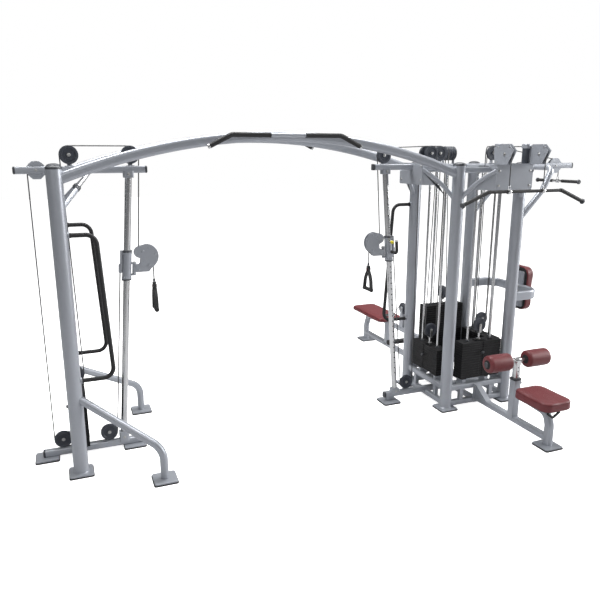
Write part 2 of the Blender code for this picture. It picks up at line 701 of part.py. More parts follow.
def rod_spots(station):
    x, y, long_axis = STACKS[station][:3]
    for side in (-1, 1):
        step = side * ROD_SPACING / 2
        yield (x + step, y) if long_axis == 0 else (x, y + step)


def make_stack(station):
    """The plates that stay down, with the two guide rods through them."""
    low, top = STACKS[station][3:5]
    shapes = [stack_block(station, low, top - HEAD_HEIGHT - GAP)]
    shapes += [rod((x, y, low + 0.01), (x, y, ROD_TOP_Z), ROD_RADIUS, 8) for x, y in rod_spots(station)]
    piece(f"{station}_weight_stack", shapes, "stack_iron")


def make_lift_head(station):
    """The picked-up plates, the stem, and the floating pulley in its yoke."""
    x, y, _, _, top, pulley_z = STACKS[station]
    axis = Vector(FLOAT_AXIS[station])
    shapes = [stack_block(station, top - HEAD_HEIGHT, top)]
    shapes.append(rod((x, y, top - 0.01), (x, y, pulley_z - PULLEY_RADIUS - 0.006), 0.010, 8))
    shapes.append(box((x - 0.022, y - 0.022, pulley_z - 0.078), (x + 0.022, y + 0.022, pulley_z - 0.070)))
    for side in (-1, 1):
        middle = Vector((x, y, pulley_z - 0.03)) + axis * side * 0.019
        across = axis.cross(Vector((0, 0, 1)))
        size = across * 0.012 + axis * 0.003 + Vector((0, 0, 0.047))
        size = Vector([abs(c) for c in size])
        shapes.append(box(middle - size, middle + size))
    start = Vector((x, y, pulley_z)) - axis * 0.024
    shapes.append(rod(start, start + axis * 0.048, AXLE_RADIUS, 6))
    shapes.append(wheel((x, y, pulley_z), axis))
    cuts = [rod((a, b, top - 0.3), (a, b, top + 0.3), ROD_RADIUS + 0.002, 8) for a, b in rod_spots(station)]
    piece(f"{station}_lift_head", shapes, "stack_iron", cuts)


# ---------------------------------------------------------------- cable columns' moving parts
def lean_matrix(foot_x, lean):
    """Carries a shape made round X = 0 with Z as plan height onto a leaning column."""
    shear = Matrix.Identity(4)
    shear[0][2] = lean
    shear[0][3] = foot_x - lean * COLUMN_LOW_Z
    return shear


def on_column(shapes, foot_x, lean, out):
    """Turn to the side the arm points to, then lean with the column."""
    for shape in shapes:
        bmesh.ops.scale(shape, vec=(out, out, 1), verts=shape.verts)
        bmesh.ops.transform(shape, matrix=lean_matrix(foot_x, lean), verts=shape.verts)
    return shapes


def column_axis_x(foot_x, lean, z):
    return foot_x + lean * (z - COLUMN_LOW_Z)


def make_carriage(name, foot_x, lean, out):
    """The sleeve that slides on a cable column, with ears for the swivel and a pin boss."""
    sleeve = lathe(
        [(0.037, CARRIAGE_HIGH_Z), (0.037, CARRIAGE_LOW_Z), (0.0264, CARRIAGE_LOW_Z), (0.0264, CARRIAGE_HIGH_Z)],
        (0, 0, 0),
        (0, 0, 1),
        16,
    )
    shapes = [sleeve]
    for z in (1.432, 1.522):
        shapes.append(box((0.030, -0.016, z - 0.006), (HINGE_REACH + 0.016, 0.016, z + 0.006)))
    shapes.append(box((-0.062, -0.02, 1.45), (-0.033, 0.02, 1.58)))
    grip = bent([(0, 0.03, 1.485), (0, 0.15, 1.485), (0, 0.15, 1.605)], 0.03, 3)
    shapes.append(sweep(grip, circle(0.0125, 10), (1, 0, 0)))
    pin_hole = rod((0, 0.03, PIN_Z), (0, 0.1, PIN_Z), 0.0062, 8)
    boss = rod((0, 0.032, PIN_Z), (0, 0.052, PIN_Z), 0.012, 10)
    hinge_hole = rod((HINGE_REACH, 0, 1.40), (HINGE_REACH, 0, 1.56), 0.0066, 8)
    middle = column_axis_x(foot_x, lean, 1.5)
    body = on_column([*shapes, boss], foot_x, lean, out)
    holes = on_column([pin_hole, hinge_hole], foot_x, lean, out)
    piece(name, body, "frame_paint", holes, pivot=(middle, 0, 1.5))


PIN_Z = 1.575


def make_pop_pin(name, foot_x, lean, out):
    """The spring pin that locks the carriage, pulled straight out."""
    shank = rod((0, 0.0382, PIN_Z), (0, 0.066, PIN_Z), 0.0052, 8)
    knob_profile = [(0, 0.028), (0.011, 0.028), (0.015, 0.022), (0.015, 0.004), (0.009, 0), (0, 0)]
    knob = lathe(knob_profile, (0, 0.060, PIN_Z), (0, 1, 0), 12)
    shapes = on_column([shank, knob], foot_x, lean, out)
    piece(name, shapes, "pin_yellow", pivot=(column_axis_x(foot_x, lean, PIN_Z), out * 0.06, PIN_Z))


def guard_outline(reach, z):
    """The comma-shaped guard: a big round lobe, a small one at the upper left, and a foot."""
    big = (reach, z)
    small = (reach - 0.045, z + 0.042)
    points = [(HINGE_REACH + 0.012, z - 0.115), (reach + 0.035, z - 0.115)]
    for turn in range(-60, 91, 25):
        a = math.radians(turn)
        points.append((big[0] + 0.100 * math.cos(a), big[1] + 0.100 * math.sin(a)))
    for turn in range(105, 256, 50):
        a = math.radians(turn)
        points.append((small[0] + 0.044 * math.cos(a), small[1] + 0.044 * math.sin(a)))
    points += [(reach - 0.038, z - 0.012), (reach - 0.034, z - 0.040), (HINGE_REACH + 0.012, z - 0.057)]
    return points


def swivel_pulleys(reach, z):
    """The two little pulleys between the guard plates, (x, z, wrap radius)."""
    return [(reach + 0.027, z - 0.065, 0.035), (reach - 0.024, z + 0.047, 0.030)]


def make_swivel_arm(name, foot_x, lean, out):
    shapes = []
    outline = guard_outline(ARM_REACH, ARM_Z)
    for low in (-0.018, 0.014):
        shapes.append(slab(outline, 1, low, low + 0.004))
    shapes.append(rod((HINGE_REACH, 0, 1.4415), (HINGE_REACH, 0, 1.5125), 0.014))
    shapes.append(rod((HINGE_REACH, 0, 1.43), (HINGE_REACH, 0, 1.524), 0.0055, 8))
    shapes.append(box((HINGE_REACH + 0.004, -0.0165, 1.452), (HINGE_REACH + 0.05, 0.0165, 1.505)))
    for x, z, wrap in swivel_pulleys(ARM_REACH, ARM_Z):
        shapes.append(rod((x, -0.022, z), (x, 0.022, z), AXLE_RADIUS, 6))
        shapes.append(wheel((x, 0, z), (0, 1, 0), wrap, wrap - 0.0085, 0.008))
    hinge_x = column_axis_x(foot_x, lean, 1.5) + out * HINGE_REACH
    piece(name, on_column(shapes, foot_x, lean, out), "frame_paint", pivot=(hinge_x, 0, 1.5))


def handle_top(foot_x, lean, out):
    """Where a hand grip hangs: under the outer side of the lower swivel pulley."""
    reach, z, wrap = swivel_pulleys(ARM_REACH, ARM_Z)[0]
    return Vector((column_axis_x(foot_x, lean, z) + out * (reach + wrap), 0, 1.385))


def make_handle(name, foot_x, lean, out):
    """A stirrup handle: a webbing strap folded round a tube grip."""
    top = handle_top(foot_x, lean, out)
    half = 0.066
    loop = [(half, -0.235), (0.052, -0.15), (0.031, -0.105), (0.008, -0.078)]
    strap = [(0, y, z) for y, z in loop] + [(0, -y, z) for y, z in loop[::-1]]
    shapes = [
        sweep([(0, 0, 0), (0, 0, -0.081)], rounded(0.036, 0.016, 0.004)),
        sweep(strap, rounded(0.024, 0.008, 0.003), (1, 0, 0)),
        rod((0, -half - 0.008, -0.238), (0, half + 0.008, -0.238), 0.0145),
    ]
    for shape in shapes:
        bmesh.ops.translate(shape, vec=top, verts=shape.verts)
    piece(name, shapes, "black_grip", pivot=top)


# ---------------------------------------------------------------- pulldown station
def make_lat_seat_frame():
    """Floor beam, post socket for the thigh rollers, curved seat leg and foot plate."""
    inner_y = -POST_Y - RAIL / 2 - GAP
    shapes = [
        tube([(0, inner_y, 0.075), (0, LAT_FOOT_Y + 0.02, 0.075)], 0.06, 0.05, side=(1, 0, 0)),
        box((-0.045, inner_y - 0.010, 0.03), (0.045, inner_y, 0.225)),
        slab([(inner_y - 0.005, 0.055), (-0.56, 0.055), (-0.56, 0.09), (inner_y - 0.005, 0.215)], 0, -0.028, 0.028),
        tube([(0, THIGH_POST_Y, 0.08), (0, THIGH_POST_Y, 0.445)], 0.07, 0.07),
        foot_plate(0, LAT_FOOT_Y),
        box((-0.045, -1.30, LAT_PAD_LOW_Z - 0.008), (0.045, -1.04, LAT_PAD_LOW_Z - GAP)),
    ]
    curve = [(0, -1.06, 0.308), (0, -1.265, 0.290), (0, LAT_FOOT_Y, 0.19), (0, LAT_FOOT_Y, 0.015)]
    shapes.append(sweep(bent(curve, 0.09, 5), rounded(0.06, 0.07, 0.016), (1, 0, 0)))
    socket = sweep([(0, THIGH_POST_Y, 0.12), (0, THIGH_POST_Y, 0.50)], rounded(0.0535, 0.0535, 0.006), (0, 1, 0))
    piece("lat_seat_frame", shapes, "frame_paint", [socket])


def make_thigh_post():
    """The sliding post with its cross axle for the rollers."""
    shapes = [
        sweep([(0, THIGH_POST_Y, 0.1303), (0, THIGH_POST_Y, THIGH_AXLE_Z)], rounded(0.05, 0.05, 0.006), (0, 1, 0)),
        rod((-0.333, THIGH_POST_Y, THIGH_AXLE_Z), (0.333, THIGH_POST_Y, THIGH_AXLE_Z), 0.0145),
    ]
    piece("thigh_post", shapes, "chrome", pivot=(0, THIGH_POST_Y, THIGH_AXLE_Z))


def make_thigh_roller(name, side):
    """A round foam roller that turns on the cross axle."""
    half = 0.1175
    rim = [(0.063, half), (0.078, half - 0.018), (0.078, 0.018 - half), (0.063, -half)]
    profile = [(0.0155, half), *rim, (0.0155, -half)]
    middle = (side * 0.2025, THIGH_POST_Y, THIGH_AXLE_Z)
    piece(name, [lathe(profile, middle, (1, 0, 0))], "upholstery", pivot=middle)


def pad_shape(low, high, radius, bevel):
    """A cushion block with rounded plan corners and eased edges."""
    x0, y0, z0 = low
    x1, y1, z1 = high
    middle = Vector(((x0 + x1) / 2, (y0 + y1) / 2, 0))
    shape = bmesh.new()
    rings = []
    for z, inset in ((z0, bevel), (z0 + bevel, 0), (z1 - bevel, 0), (z1, bevel)):
        outline = rounded(x1 - x0 - 2 * inset, y1 - y0 - 2 * inset, radius - inset, 3)
        rings.append([shape.verts.new(middle + Vector((a, b, z))) for a, b in outline])
    for one, two in zip(rings, rings[1:]):
        for i in range(len(one)):
            j = (i + 1) % len(one)
            shape.faces.new((one[i], one[j], two[j], two[i]))
    shape.faces.new(rings[0][::-1])
    shape.faces.new(rings[-1])
    bmesh.ops.recalc_face_normals(shape, faces=shape.faces)
    return shape


def make_lat_bar():
    """The wide pulldown bar on two cable clips."""
    z = LAT_BAR_Z
    y = LAT_CABLE_Y
    corners = [(-0.62, y, z - 0.10), (-0.376, y, z), (0.376, y, z), (0.62, y, z - 0.10)]
    shapes = [sweep(bent(corners, 0.05, 3), circle(0.0155))]
    for side in (-1, 1):
        x = side * LAT_CABLE_X
        shapes.append(rod((x - 0.014, y, z), (x + 0.014, y, z), 0.021))
        shapes.append(rod((x, y, z), (x, y, z + 0.048), 0.006, 6))
        end = Vector((side * 0.62, y, z - 0.10))
        along = Vector((side * 0.244, 0, -0.10)).normalized()
        shapes.append(rod(end - along * 0.012, end + along * 0.008, 0.0235))
    piece("lat_bar", shapes, "black_grip", pivot=(0, y, z))


# ---------------------------------------------------------------- row station
ROW_PULLEY_Y = 1.03
ROW_PULLEY_Z = 0.62


def make_row_bench_frame():
    """Floor beam, bench beam, legs, foot bar and the pulley mast of the row station."""
    inner_y = POST_Y + RAIL / 2 + GAP
    shapes = [
        tube([(0, inner_y, 0.10), (0, ROW_FOOT_Y - 0.02, 0.10)], 0.06, 0.05, side=(1, 0, 0)),
        tube([(0, inner_y, 0.372), (0, 1.78, 0.372)], 0.05, 0.05, side=(1, 0, 0)),
        tube([(0, 1.36, 0.10), (0, 1.36, 0.372)], 0.06, 0.06),
        foot_plate(0, ROW_FOOT_Y),
        box((-0.045, inner_y, 0.03), (0.045, inner_y + 0.010, 0.392)),
    ]
    curve = [(0, 1.62, 0.356), (0, 1.84, 0.34), (0, ROW_FOOT_Y, 0.20), (0, ROW_FOOT_Y, 0.015)]
    shapes.append(sweep(bent(curve, 0.09, 5), rounded(0.06, 0.07, 0.016), (1, 0, 0)))
    shapes.append(rod((-0.32, 0.80, 0.315), (0.32, 0.80, 0.315), 0.022))
    shapes.append(box((-0.02, 0.79, 0.30), (0.02, 0.81, 0.36)))
    for side in (-1, 1):
        x0, x1 = sorted((side * 0.016, side * 0.021))
        outline = [(0.97, 0.36), (1.09, 0.36), (1.075, 0.655), (1.03, 0.68), (0.985, 0.655)]
        shapes.append(slab(outline, 0, x0, x1))
    shapes.append(box((-0.021, 0.975, 0.36), (0.021, 1.085, 0.40)))
    shapes.append(rod((-0.024, ROW_PULLEY_Y, ROW_PULLEY_Z), (0.024, ROW_PULLEY_Y, ROW_PULLEY_Z), AXLE_RADIUS, 6))
    shapes.append(wheel((0, ROW_PULLEY_Y, ROW_PULLEY_Z), (1, 0, 0)))
    for y in (ROW_LOW_OUT_Y, ROW_LOW_IN_Y):
        shapes.append(wheel((0, y, ROW_LOW_Z), (1, 0, 0), half=0.009))
        shapes.append(box((-0.024, y - 0.015, 0.12), (-0.006, y + 0.015, ROW_LOW_Z + 0.015)))
    slots = [box((-0.007, y, 0.33), (0.007, y + 0.04, 0.41)) for y in (0.42, 0.946)]
    piece("row_bench_frame", shapes, "frame_paint", slots)


ROW_LOW_Z = 0.20
ROW_LOW_OUT_Y = 0.902
ROW_LOW_IN_Y = 0.500


def make_row_handle():
    """A close-grip row handle lying on the front of the bench pad."""
    y = ROW_PAD_FRONT_Y + 0.06
    z = BENCH_TOP_Z + 0.016
    shapes = [
        rod((-0.075, y, z), (0.075, y, z), 0.0145),
        rod((-0.075, y, z), (-0.02, y - 0.10, z + 0.02), 0.007, 8),
        rod((0.075, y, z), (0.02, y - 0.10, z + 0.02), 0.007, 8),
        rod((-0.026, y - 0.10, z + 0.02), (0.026, y - 0.10, z + 0.02), 0.009, 8),
    ]
    piece("row_handle", shapes, "black_grip", pivot=(0, y, z))


# ---------------------------------------------------------------- triceps station
HOOP_X = 0.673                    # middle of the hoop's far run
PAD_BACK_X = 0.703
PAD_THICK = 0.085


def make_back_support():
    """The hoop from the right-hand posts and the bolster on it."""
    corners = [(CORE_X, -POST_Y, 1.03), (HOOP_X, -POST_Y, 1.03), (HOOP_X, POST_Y, 1.03), (CORE_X, POST_Y, 1.03)]
    hoop = sweep(bent(corners, 0.13, 5), rounded(0.035, 0.09, 0.016), (0, 1, 0))
    posts = [(CORE_X, -POST_Y), (CORE_X, POST_Y)]
    plate = box((HOOP_X + 0.013, -0.10, 0.84), (PAD_BACK_X - GAP, 0.10, 1.20))
    piece("back_support_hoop", [hoop, plate], "frame_paint", post_clearances(posts))
    pad = pad_shape((-0.14, 0.80, -PAD_THICK), (0.14, 1.25, 0), 0.08, 0.018)
    turn = Matrix(((0, 0, 1, 0), (1, 0, 0, 0), (0, 1, 0, 0), (0, 0, 0, 1)))
    shift = Matrix.Translation((PAD_BACK_X + PAD_THICK, 0, 0))
    bmesh.ops.transform(pad, matrix=shift @ turn, verts=pad.verts)
    piece("back_support_pad", [pad], "upholstery")


def make_triceps_bar():
    """The press-down bar hung from the beam's end."""
    x = TRICEPS_HOUSED_X + 0.0595
    z = 2.085
    shapes = [
        rod((x, -0.275, z), (x, 0.275, z), 0.0135),
        rod((x, 0, z), (x, 0, z + 0.045), 0.006, 8),
        rod((x, -0.014, z), (x, 0.014, z), 0.019),
    ]
    for side in (-1, 1):
        shapes.append(rod((x, side * 0.262, z), (x, side * 0.283, z), 0.0215))
    piece("triceps_bar", shapes, "black_grip", pivot=(x, 0, z))


# ---------------------------------------------------------------- cables
def wrap_route(stops, step=math.radians(36)):
    """Taut route in a plane: stops are (u, v, wrap radius, turn, w), turn +1 anticlockwise.

    A stop with no radius is a point; w is the stop's place across the plane.
    """
    headings = []
    for one, two in zip(stops, stops[1:]):
        du, dv = two[0] - one[0], two[1] - one[1]
        shift = two[3] * two[2] - one[3] * one[2]
        headings.append(math.atan2(dv, du) - math.asin(shift / math.hypot(du, dv)))
    route = []
    for i, (u, v, radius, turn, w) in enumerate(stops):
        if not radius:
            route.append((u, v, w))
            continue
        start = headings[i - 1]
        swing = turn * ((turn * (headings[i] - start)) % (2 * math.pi))
        count = max(1, math.ceil(abs(swing) / step))
        for k in range(count + 1):
            a = start + swing * k / count
            route.append((u + turn * radius * math.sin(a), v - turn * radius * math.cos(a), w))
    return route


def arc(centre, radius, start, end, steps=5):
    """Quarter-turn points round centre, from one unit direction to a square one."""
    turns = [math.pi / 2 * i / steps for i in range(steps + 1)]
    lead, tail = Vector(start), Vector(end)
    return [Vector(centre) + radius * (math.cos(t) * lead + math.sin(t) * tail) for t in turns]


def make_cable(name, points):
    """A curve object with a round bevel and filled caps along the points."""
    curve = bpy.data.curves.new(name, "CURVE")
    curve.dimensions = "3D"
    curve.bevel_depth = CABLE_RADIUS
    curve.bevel_resolution = 2
    curve.use_fill_caps = True
    spline = curve.splines.new("POLY")
    spline.points.add(len(points) - 1)
    for spot, point in zip(spline.points, points):
        spot.co = (*point, 1)
    curve.materials.append(finish_of("cable_black"))
    obj = bpy.data.objects.new(name, curve)
    SCENE.collection.objects.link(obj)
    obj.parent = PLAN


def column_stops(foot_x, lean, out):
    """The stops in the swivel arm, from the hand grip up to the top pulley."""
    top = handle_top(foot_x, lean, out)
    lower, upper = swivel_pulleys(ARM_REACH, ARM_Z)
    stops = [(top.x, top.z + 0.001, 0, 0, 0)]
    for (reach, z, wrap), turn in ((lower, out), (upper, -out)):
        stops.append((column_axis_x(foot_x, lean, z) + out * reach, z, wrap, turn, 0))
    return stops


def carriage_anchor(foot_x, lean, out):
    """The cable's end on the carriage's back lug, away from the arm."""
    return (column_axis_x(foot_x, lean, 1.45) - out * 0.050, 1.449, 0, 0, 0)


def end_cable():
    outer, inner = END_TOP_PULLEYS["outer"], END_TOP_PULLEYS["inner"]
    low_outer, low_inner = END_LOW_PULLEYS["outer"], END_LOW_PULLEYS["inner"]
    stops = column_stops(END_COLUMN_FOOT_X, END_COLUMN_LEAN, 1)
    stops.append((*inner, WRAP_RADIUS, 1, 0))
    stops.append((*outer, WRAP_RADIUS, 1, 0))
    stops.append((END_STACK_X, END_FLOAT_Z, WRAP_RADIUS, -1, 0))
    stops.append((END_HOUSED_X, TOP_BEAM_Z, 0.0605, 1, 0))
    stops.append((*low_outer, WRAP_RADIUS, 1, 0))
    stops.append((*low_inner, WRAP_RADIUS, 1, 0))
    stops.append(carriage_anchor(END_COLUMN_FOOT_X, END_COLUMN_LEAN, 1))
    make_cable("end_cable", [(u, w, v) for u, v, w in wrap_route(stops)])


def core_column_cable():
    first, second, third = COLUMN_STACK_GUIDES
    x, y, _, _, _, float_z = STACKS["column"]
    stops = column_stops(CORE_COLUMN_FOOT_X, CORE_COLUMN_LEAN, -1)
    stops.append((*CORE_TOP_PULLEY, WRAP_RADIUS, -1, 0))
    stops.append((first[0], first[1], WRAP_RADIUS, -1, first[2]))
    stops.append((x, float_z, WRAP_RADIUS, 1, y))
    stops.append((second[0], second[1], WRAP_RADIUS, 1, second[2]))
    stops.append((third[0], third[1], WRAP_RADIUS, 1, third[2]))
    stops.append((*CORE_LOW_PULLEY, WRAP_RADIUS, -1, 0))
    stops.append(carriage_anchor(CORE_COLUMN_FOOT_X, CORE_COLUMN_LEAN, -1))
    make_cable("column_cable", [(u, w, v) for u, v, w in wrap_route(stops)])


def triceps_cable():
    x, y, _, _, _, float_z = STACKS["triceps"]
    stops = [
        (TRICEPS_HOUSED_X + 0.0595, 2.1315, 0, 0, 0),
        (TRICEPS_HOUSED_X, TOP_BEAM_Z, 0.0595, 1, 0),
        (*TRICEPS_GUIDE, WRAP_RADIUS, 1, 0),
        (x, float_z, WRAP_RADIUS, 1, y),
        (x + WRAP_RADIUS, 2.185, 0, 0, y),
    ]
    make_cable("triceps_cable", [(u, w, v) for u, v, w in wrap_route(stops)])


def row_cable():
    x, y, _, _, _, float_z = STACKS["row"]
    stops = [
        (ROW_PAD_FRONT_Y - 0.0505, BENCH_TOP_Z + 0.040, 0, 0, 0),
        (ROW_PULLEY_Y, ROW_PULLEY_Z, WRAP_RADIUS, 1, 0),
        (ROW_LOW_OUT_Y, ROW_LOW_Z, WRAP_RADIUS, -1, 0),
        (ROW_LOW_IN_Y, ROW_LOW_Z, WRAP_RADIUS, -1, 0),
        (ROW_TOP_Y, ROW_TOP_Z, WRAP_RADIUS, 1, 0),
        (y, float_z, WRAP_RADIUS, 1, x),
        (y + WRAP_RADIUS, 2.185, 0, 0, x),
    ]
    make_cable("row_cable", [(w, u, v) for u, v, w in wrap_route(stops)])


def lat_cable():
    """Both pulldown cables: one cable from clip to clip under the floating pulley."""
    x, y, _, _, _, float_z = STACKS["lat"]
    housing_y = LAT_CABLE_Y + WRAP_RADIUS
    halves = []
    for side in (-1, 1):
        start = (side * LAT_CABLE_X, LAT_CABLE_Y, LAT_BAR_Z + 0.0495)
        over = arc((side * LAT_CABLE_X, housing_y, 2.345), WRAP_RADIUS, (0, -1, 0), (0, 0, 1))
        bend = Vector((side * LAT_CABLE_X, LAT_ROLLER_Y + 0.008, 2.345 + WRAP_RADIUS))
        drop = Vector((x + side * WRAP_RADIUS, y, 2.345))
        along = Vector((drop.x - bend.x, drop.y - bend.y, 0)).normalized()
        down = arc(drop - along * WRAP_RADIUS, WRAP_RADIUS, (0, 0, 1), along)
        halves.append([start, *over, bend, *down])
    steps = 8
    turns = [math.pi * (1 + i / steps) for i in range(steps + 1)]
    under = [(x + WRAP_RADIUS * math.cos(t), y, float_z + WRAP_RADIUS * math.sin(t)) for t in turns]
    make_cable("lat_cable", [*halves[0], *under, *halves[1][::-1]])


# ---------------------------------------------------------------- build
def build():
    corner = {(-1, -1): "front_left", (1, -1): "front_right", (-1, 1): "rear_left", (1, 1): "rear_right"}
    for (sx, sy), where in corner.items():
        make_post(f"core_post_{where}", sx * CORE_X, sy * POST_Y)
    for side, where in ((-1, "front"), (1, "rear")):
        make_post(f"end_post_{where}", END_X, side * POST_Y)
        make_arch(f"arch_tube_{where}", side * POST_Y)
        make_pull_up_bar(f"pull_up_bar_{where}", side)
        make_grab_rail(f"end_grab_rail_{where}", END_X, side * POST_Y, 1, 1.80, 0.735, 0.235, 0.29)
        make_end_leg(f"end_leg_{where}", side)
    make_grab_rail("core_grab_rail", -CORE_X, POST_Y, -1, 1.87, 0.72, 0.24, 0.31)
    make_end_top_beam()
    make_end_base_beam()
    make_core_top_frame()
    make_core_base_frame()
    columns = [
        ("end", END_COLUMN_FOOT_X, END_COLUMN_LEAN, 1),
        ("core", CORE_COLUMN_FOOT_X, CORE_COLUMN_LEAN, -1),
    ]
    for name, foot_x, lean, out in columns:
        make_column(f"{name}_cable_column", foot_x, lean)
        make_carriage(f"{name}_carriage", foot_x, lean, out)
        make_pop_pin(f"{name}_pop_pin", foot_x, lean, out)
        make_swivel_arm(f"{name}_swivel_arm", foot_x, lean, out)
        make_handle(f"{name}_handle", foot_x, lean, out)
    for where, (x, z) in END_TOP_PULLEYS.items():
        make_pulley(f"end_top_pulley_{where}", x, z)
    for where, (x, z) in END_LOW_PULLEYS.items():
        make_pulley(f"end_low_pulley_{where}", x, z)
    for station in STACKS:
        make_stack(station)
        make_lift_head(station)
    make_lat_seat_frame()
    seat_low = (-0.15, LAT_PAD_FRONT_Y, LAT_PAD_LOW_Z)
    seat = pad_shape(seat_low, (0.15, LAT_PAD_BACK_Y, LAT_PAD_TOP_Z), 0.075, 0.016)
    piece("lat_seat_pad", [seat], "upholstery")
    make_thigh_post()
    make_thigh_roller("thigh_roller_left", -1)
    make_thigh_roller("thigh_roller_right", 1)
    make_lat_bar()
    make_row_bench_frame()
    bench = pad_shape((-0.165, ROW_PAD_FRONT_Y, 0.3973), (0.165, ROW_PAD_BACK_Y, BENCH_TOP_Z), 0.06, 0.014)
    piece("row_bench_pad", [bench], "upholstery")
    make_row_handle()
    make_back_support()
    make_triceps_bar()
    end_cable()
    core_column_cable()
    triceps_cable()
    row_cable()
    lat_cable()


clear()
PLAN = bpy.data.objects.new("plan_origin", None)
PLAN.location = (-ORIGIN_X, -ORIGIN_Y, 0)
SCENE.collection.objects.link(PLAN)
build()
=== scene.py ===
"""Looks of the multi station home gym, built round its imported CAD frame.

Shapes are laid out in the plan frame of the core tower (origin on the floor between its posts,
X along the arch, Y towards the row bench) and moved into the row frame as they are made.
"""

import math

import bmesh
import bpy
import numpy as np
from mathutils import Matrix, Vector, noise


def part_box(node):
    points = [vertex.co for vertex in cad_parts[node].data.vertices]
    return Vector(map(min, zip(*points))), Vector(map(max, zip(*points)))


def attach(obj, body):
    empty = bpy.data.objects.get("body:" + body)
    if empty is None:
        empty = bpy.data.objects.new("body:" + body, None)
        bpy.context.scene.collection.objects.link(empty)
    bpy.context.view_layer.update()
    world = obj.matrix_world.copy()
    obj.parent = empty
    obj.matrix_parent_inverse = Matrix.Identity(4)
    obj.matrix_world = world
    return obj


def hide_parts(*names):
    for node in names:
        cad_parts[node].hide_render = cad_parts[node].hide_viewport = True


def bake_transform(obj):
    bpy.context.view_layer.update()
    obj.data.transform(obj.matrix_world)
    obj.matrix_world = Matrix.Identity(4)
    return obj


# ---------------------------------------------------------------- sizes shared with the CAD, metres
POST_RADIUS = 0.054
POST_TOP = 2.262
POST_Y = 0.34
CORE_X = 0.335
END_X = -3.59
POST_PLATE = 0.18
FOOT_PLATE = 0.18
PLATE_TOP = 0.020
RUBBER = 0.009

ARCH_SPRING_Z = 2.172
ARCH_CROWN_Z = 2.478
PULL_UP_Y = 0.485
PULL_UP_Z = 2.482
PULL_UP_HALF = 0.603
PULL_UP_BEND = 0.43
PULL_UP_DROP = 0.085
PULL_UP_BARE = 0.14

BEAM = 0.052
RAIL = 0.050
TOP_BEAM_Z = 2.235
SLOT_CUT = (2.1, 2.4)
END_BASE_Z = 0.045
END_FEET_X = (-3.83, -3.16)
CORE_BASE_Z = 0.08
END_BEAM_OUTER_X = -3.86
END_TOP_INNER_X = -2.93
END_BASE_INNER_X = -3.07
CORE_BEAM_OUTER_X = 1.26
CORE_BEAM_INNER_X = -1.00
CORE_BASE_INNER_X = -0.81

PULLEY_RADIUS = 0.0670
PULLEY_HALF = 0.012
WRAP = 0.064
CABLE_RADIUS = 0.0044
CABLE_END_Z = 2.188

COLUMN_RADIUS = 0.025
COLUMN_LOW_Z = 0.1
HOLE_LOW_Z = 0.30
HOLE_PITCH = 0.052
HOLE_COUNT = 34
COLUMNS = {"end": (-3.24, 0.081, 1), "core": (-0.69, -0.0857, -1)}
HINGE = 0.056
ARM_REACH = 0.14
ARM_Z = 1.565
PIN_Z = 1.575

STACK_BASE_Z = 0.27
STACK_LENGTH = 0.44
STACK_DEPTH = 0.12
PLATE_PITCH = 0.0245
HEAD_HEIGHT = 0.12
ROD_SPACING = 0.26
ROD_RADIUS = 0.0105
ROD_TOP_Z = 2.195
# station: middle x, y, long axis (0 X, 1 Y), plates' base, plates' top, floating pulley's height
STACKS = {
    "lat": (0.04, -0.285, 0, STACK_BASE_Z, 0.63, 0.77),
    "column": (-0.285, 0.04, 1, STACK_BASE_Z, 0.53, 0.665),
    "row": (0.0, 0.285, 0, STACK_BASE_Z, 0.86, 0.975),
    "triceps": (0.285, 0.0, 1, STACK_BASE_Z, 0.60, 0.735),
    "end": (-3.57, 0.0, 1, 0.1503, 0.52, 0.67),
}

END_TOP = {"outer": (-3.48, 2.342), "inner": (-3.05, 2.342)}
END_LOW = {"outer": (-3.702, 0.145), "inner": (-3.352, 0.145)}
END_HOUSED_X = -3.706
END_HOUSED_WRAP = 0.0605
CORE_TOP_PULLEY = (-0.89, 2.335)
CORE_LOW_PULLEY = (-0.565, 0.18)
STACK_GUIDES = [(-0.413, 2.352, -0.016), (-0.285, 2.352, 0.036), (-0.437, 2.352, 0.036)]
TRICEPS_HOUSED_X = 1.04
TRICEPS_WRAP = 0.0595
TRICEPS_GUIDE = (0.281, 2.357)
ROW_TOP = (0.372, 2.352)
ROW_BANK_X = (0.029, 0.057, 0.085)
HOOD_HALF = 0.19
HOOD_TOP_Z = 2.27
FRONT_HOOD = (0, 0.65, 2.05)
LEFT_HOOD = (3, 0.607, 2.083)

LAT_CABLE_X = 0.175
LAT_CABLE_Y = -0.80
LAT_HUB_Z = 2.345
LAT_BAR_Z = 2.05
LAT_FOOT_Y = -1.30
THIGH_POST_Y = -0.87
THIGH_AXLE_Z = 0.61
ROLLER_X = 0.2025
ROLLER_HALF = 0.1165
ROLLER_RADIUS = 0.0765
LAT_PAD_Z = (0.345, 0.425)
ROW_PULLEY = (1.03, 0.62)
ROW_LOW = [(0.902, 0.20), (0.500, 0.20)]
ROW_FOOT_Y = 1.90
ROW_PAD_Y = (1.28, 2.02)
BENCH_TOP_Z = 0.45
HOOP_X = 0.673
PAD_BACK_X = 0.703
PAD_THICK = 0.085
TRICEPS_BAR_Z = 2.085

# ---------------------------------------------------------------- upholstery
PAD_BOARD = 0.003
PAD_VOXEL = 0.0055
HELD_MARGIN = 0.010
CLOTH_FRAMES = 20
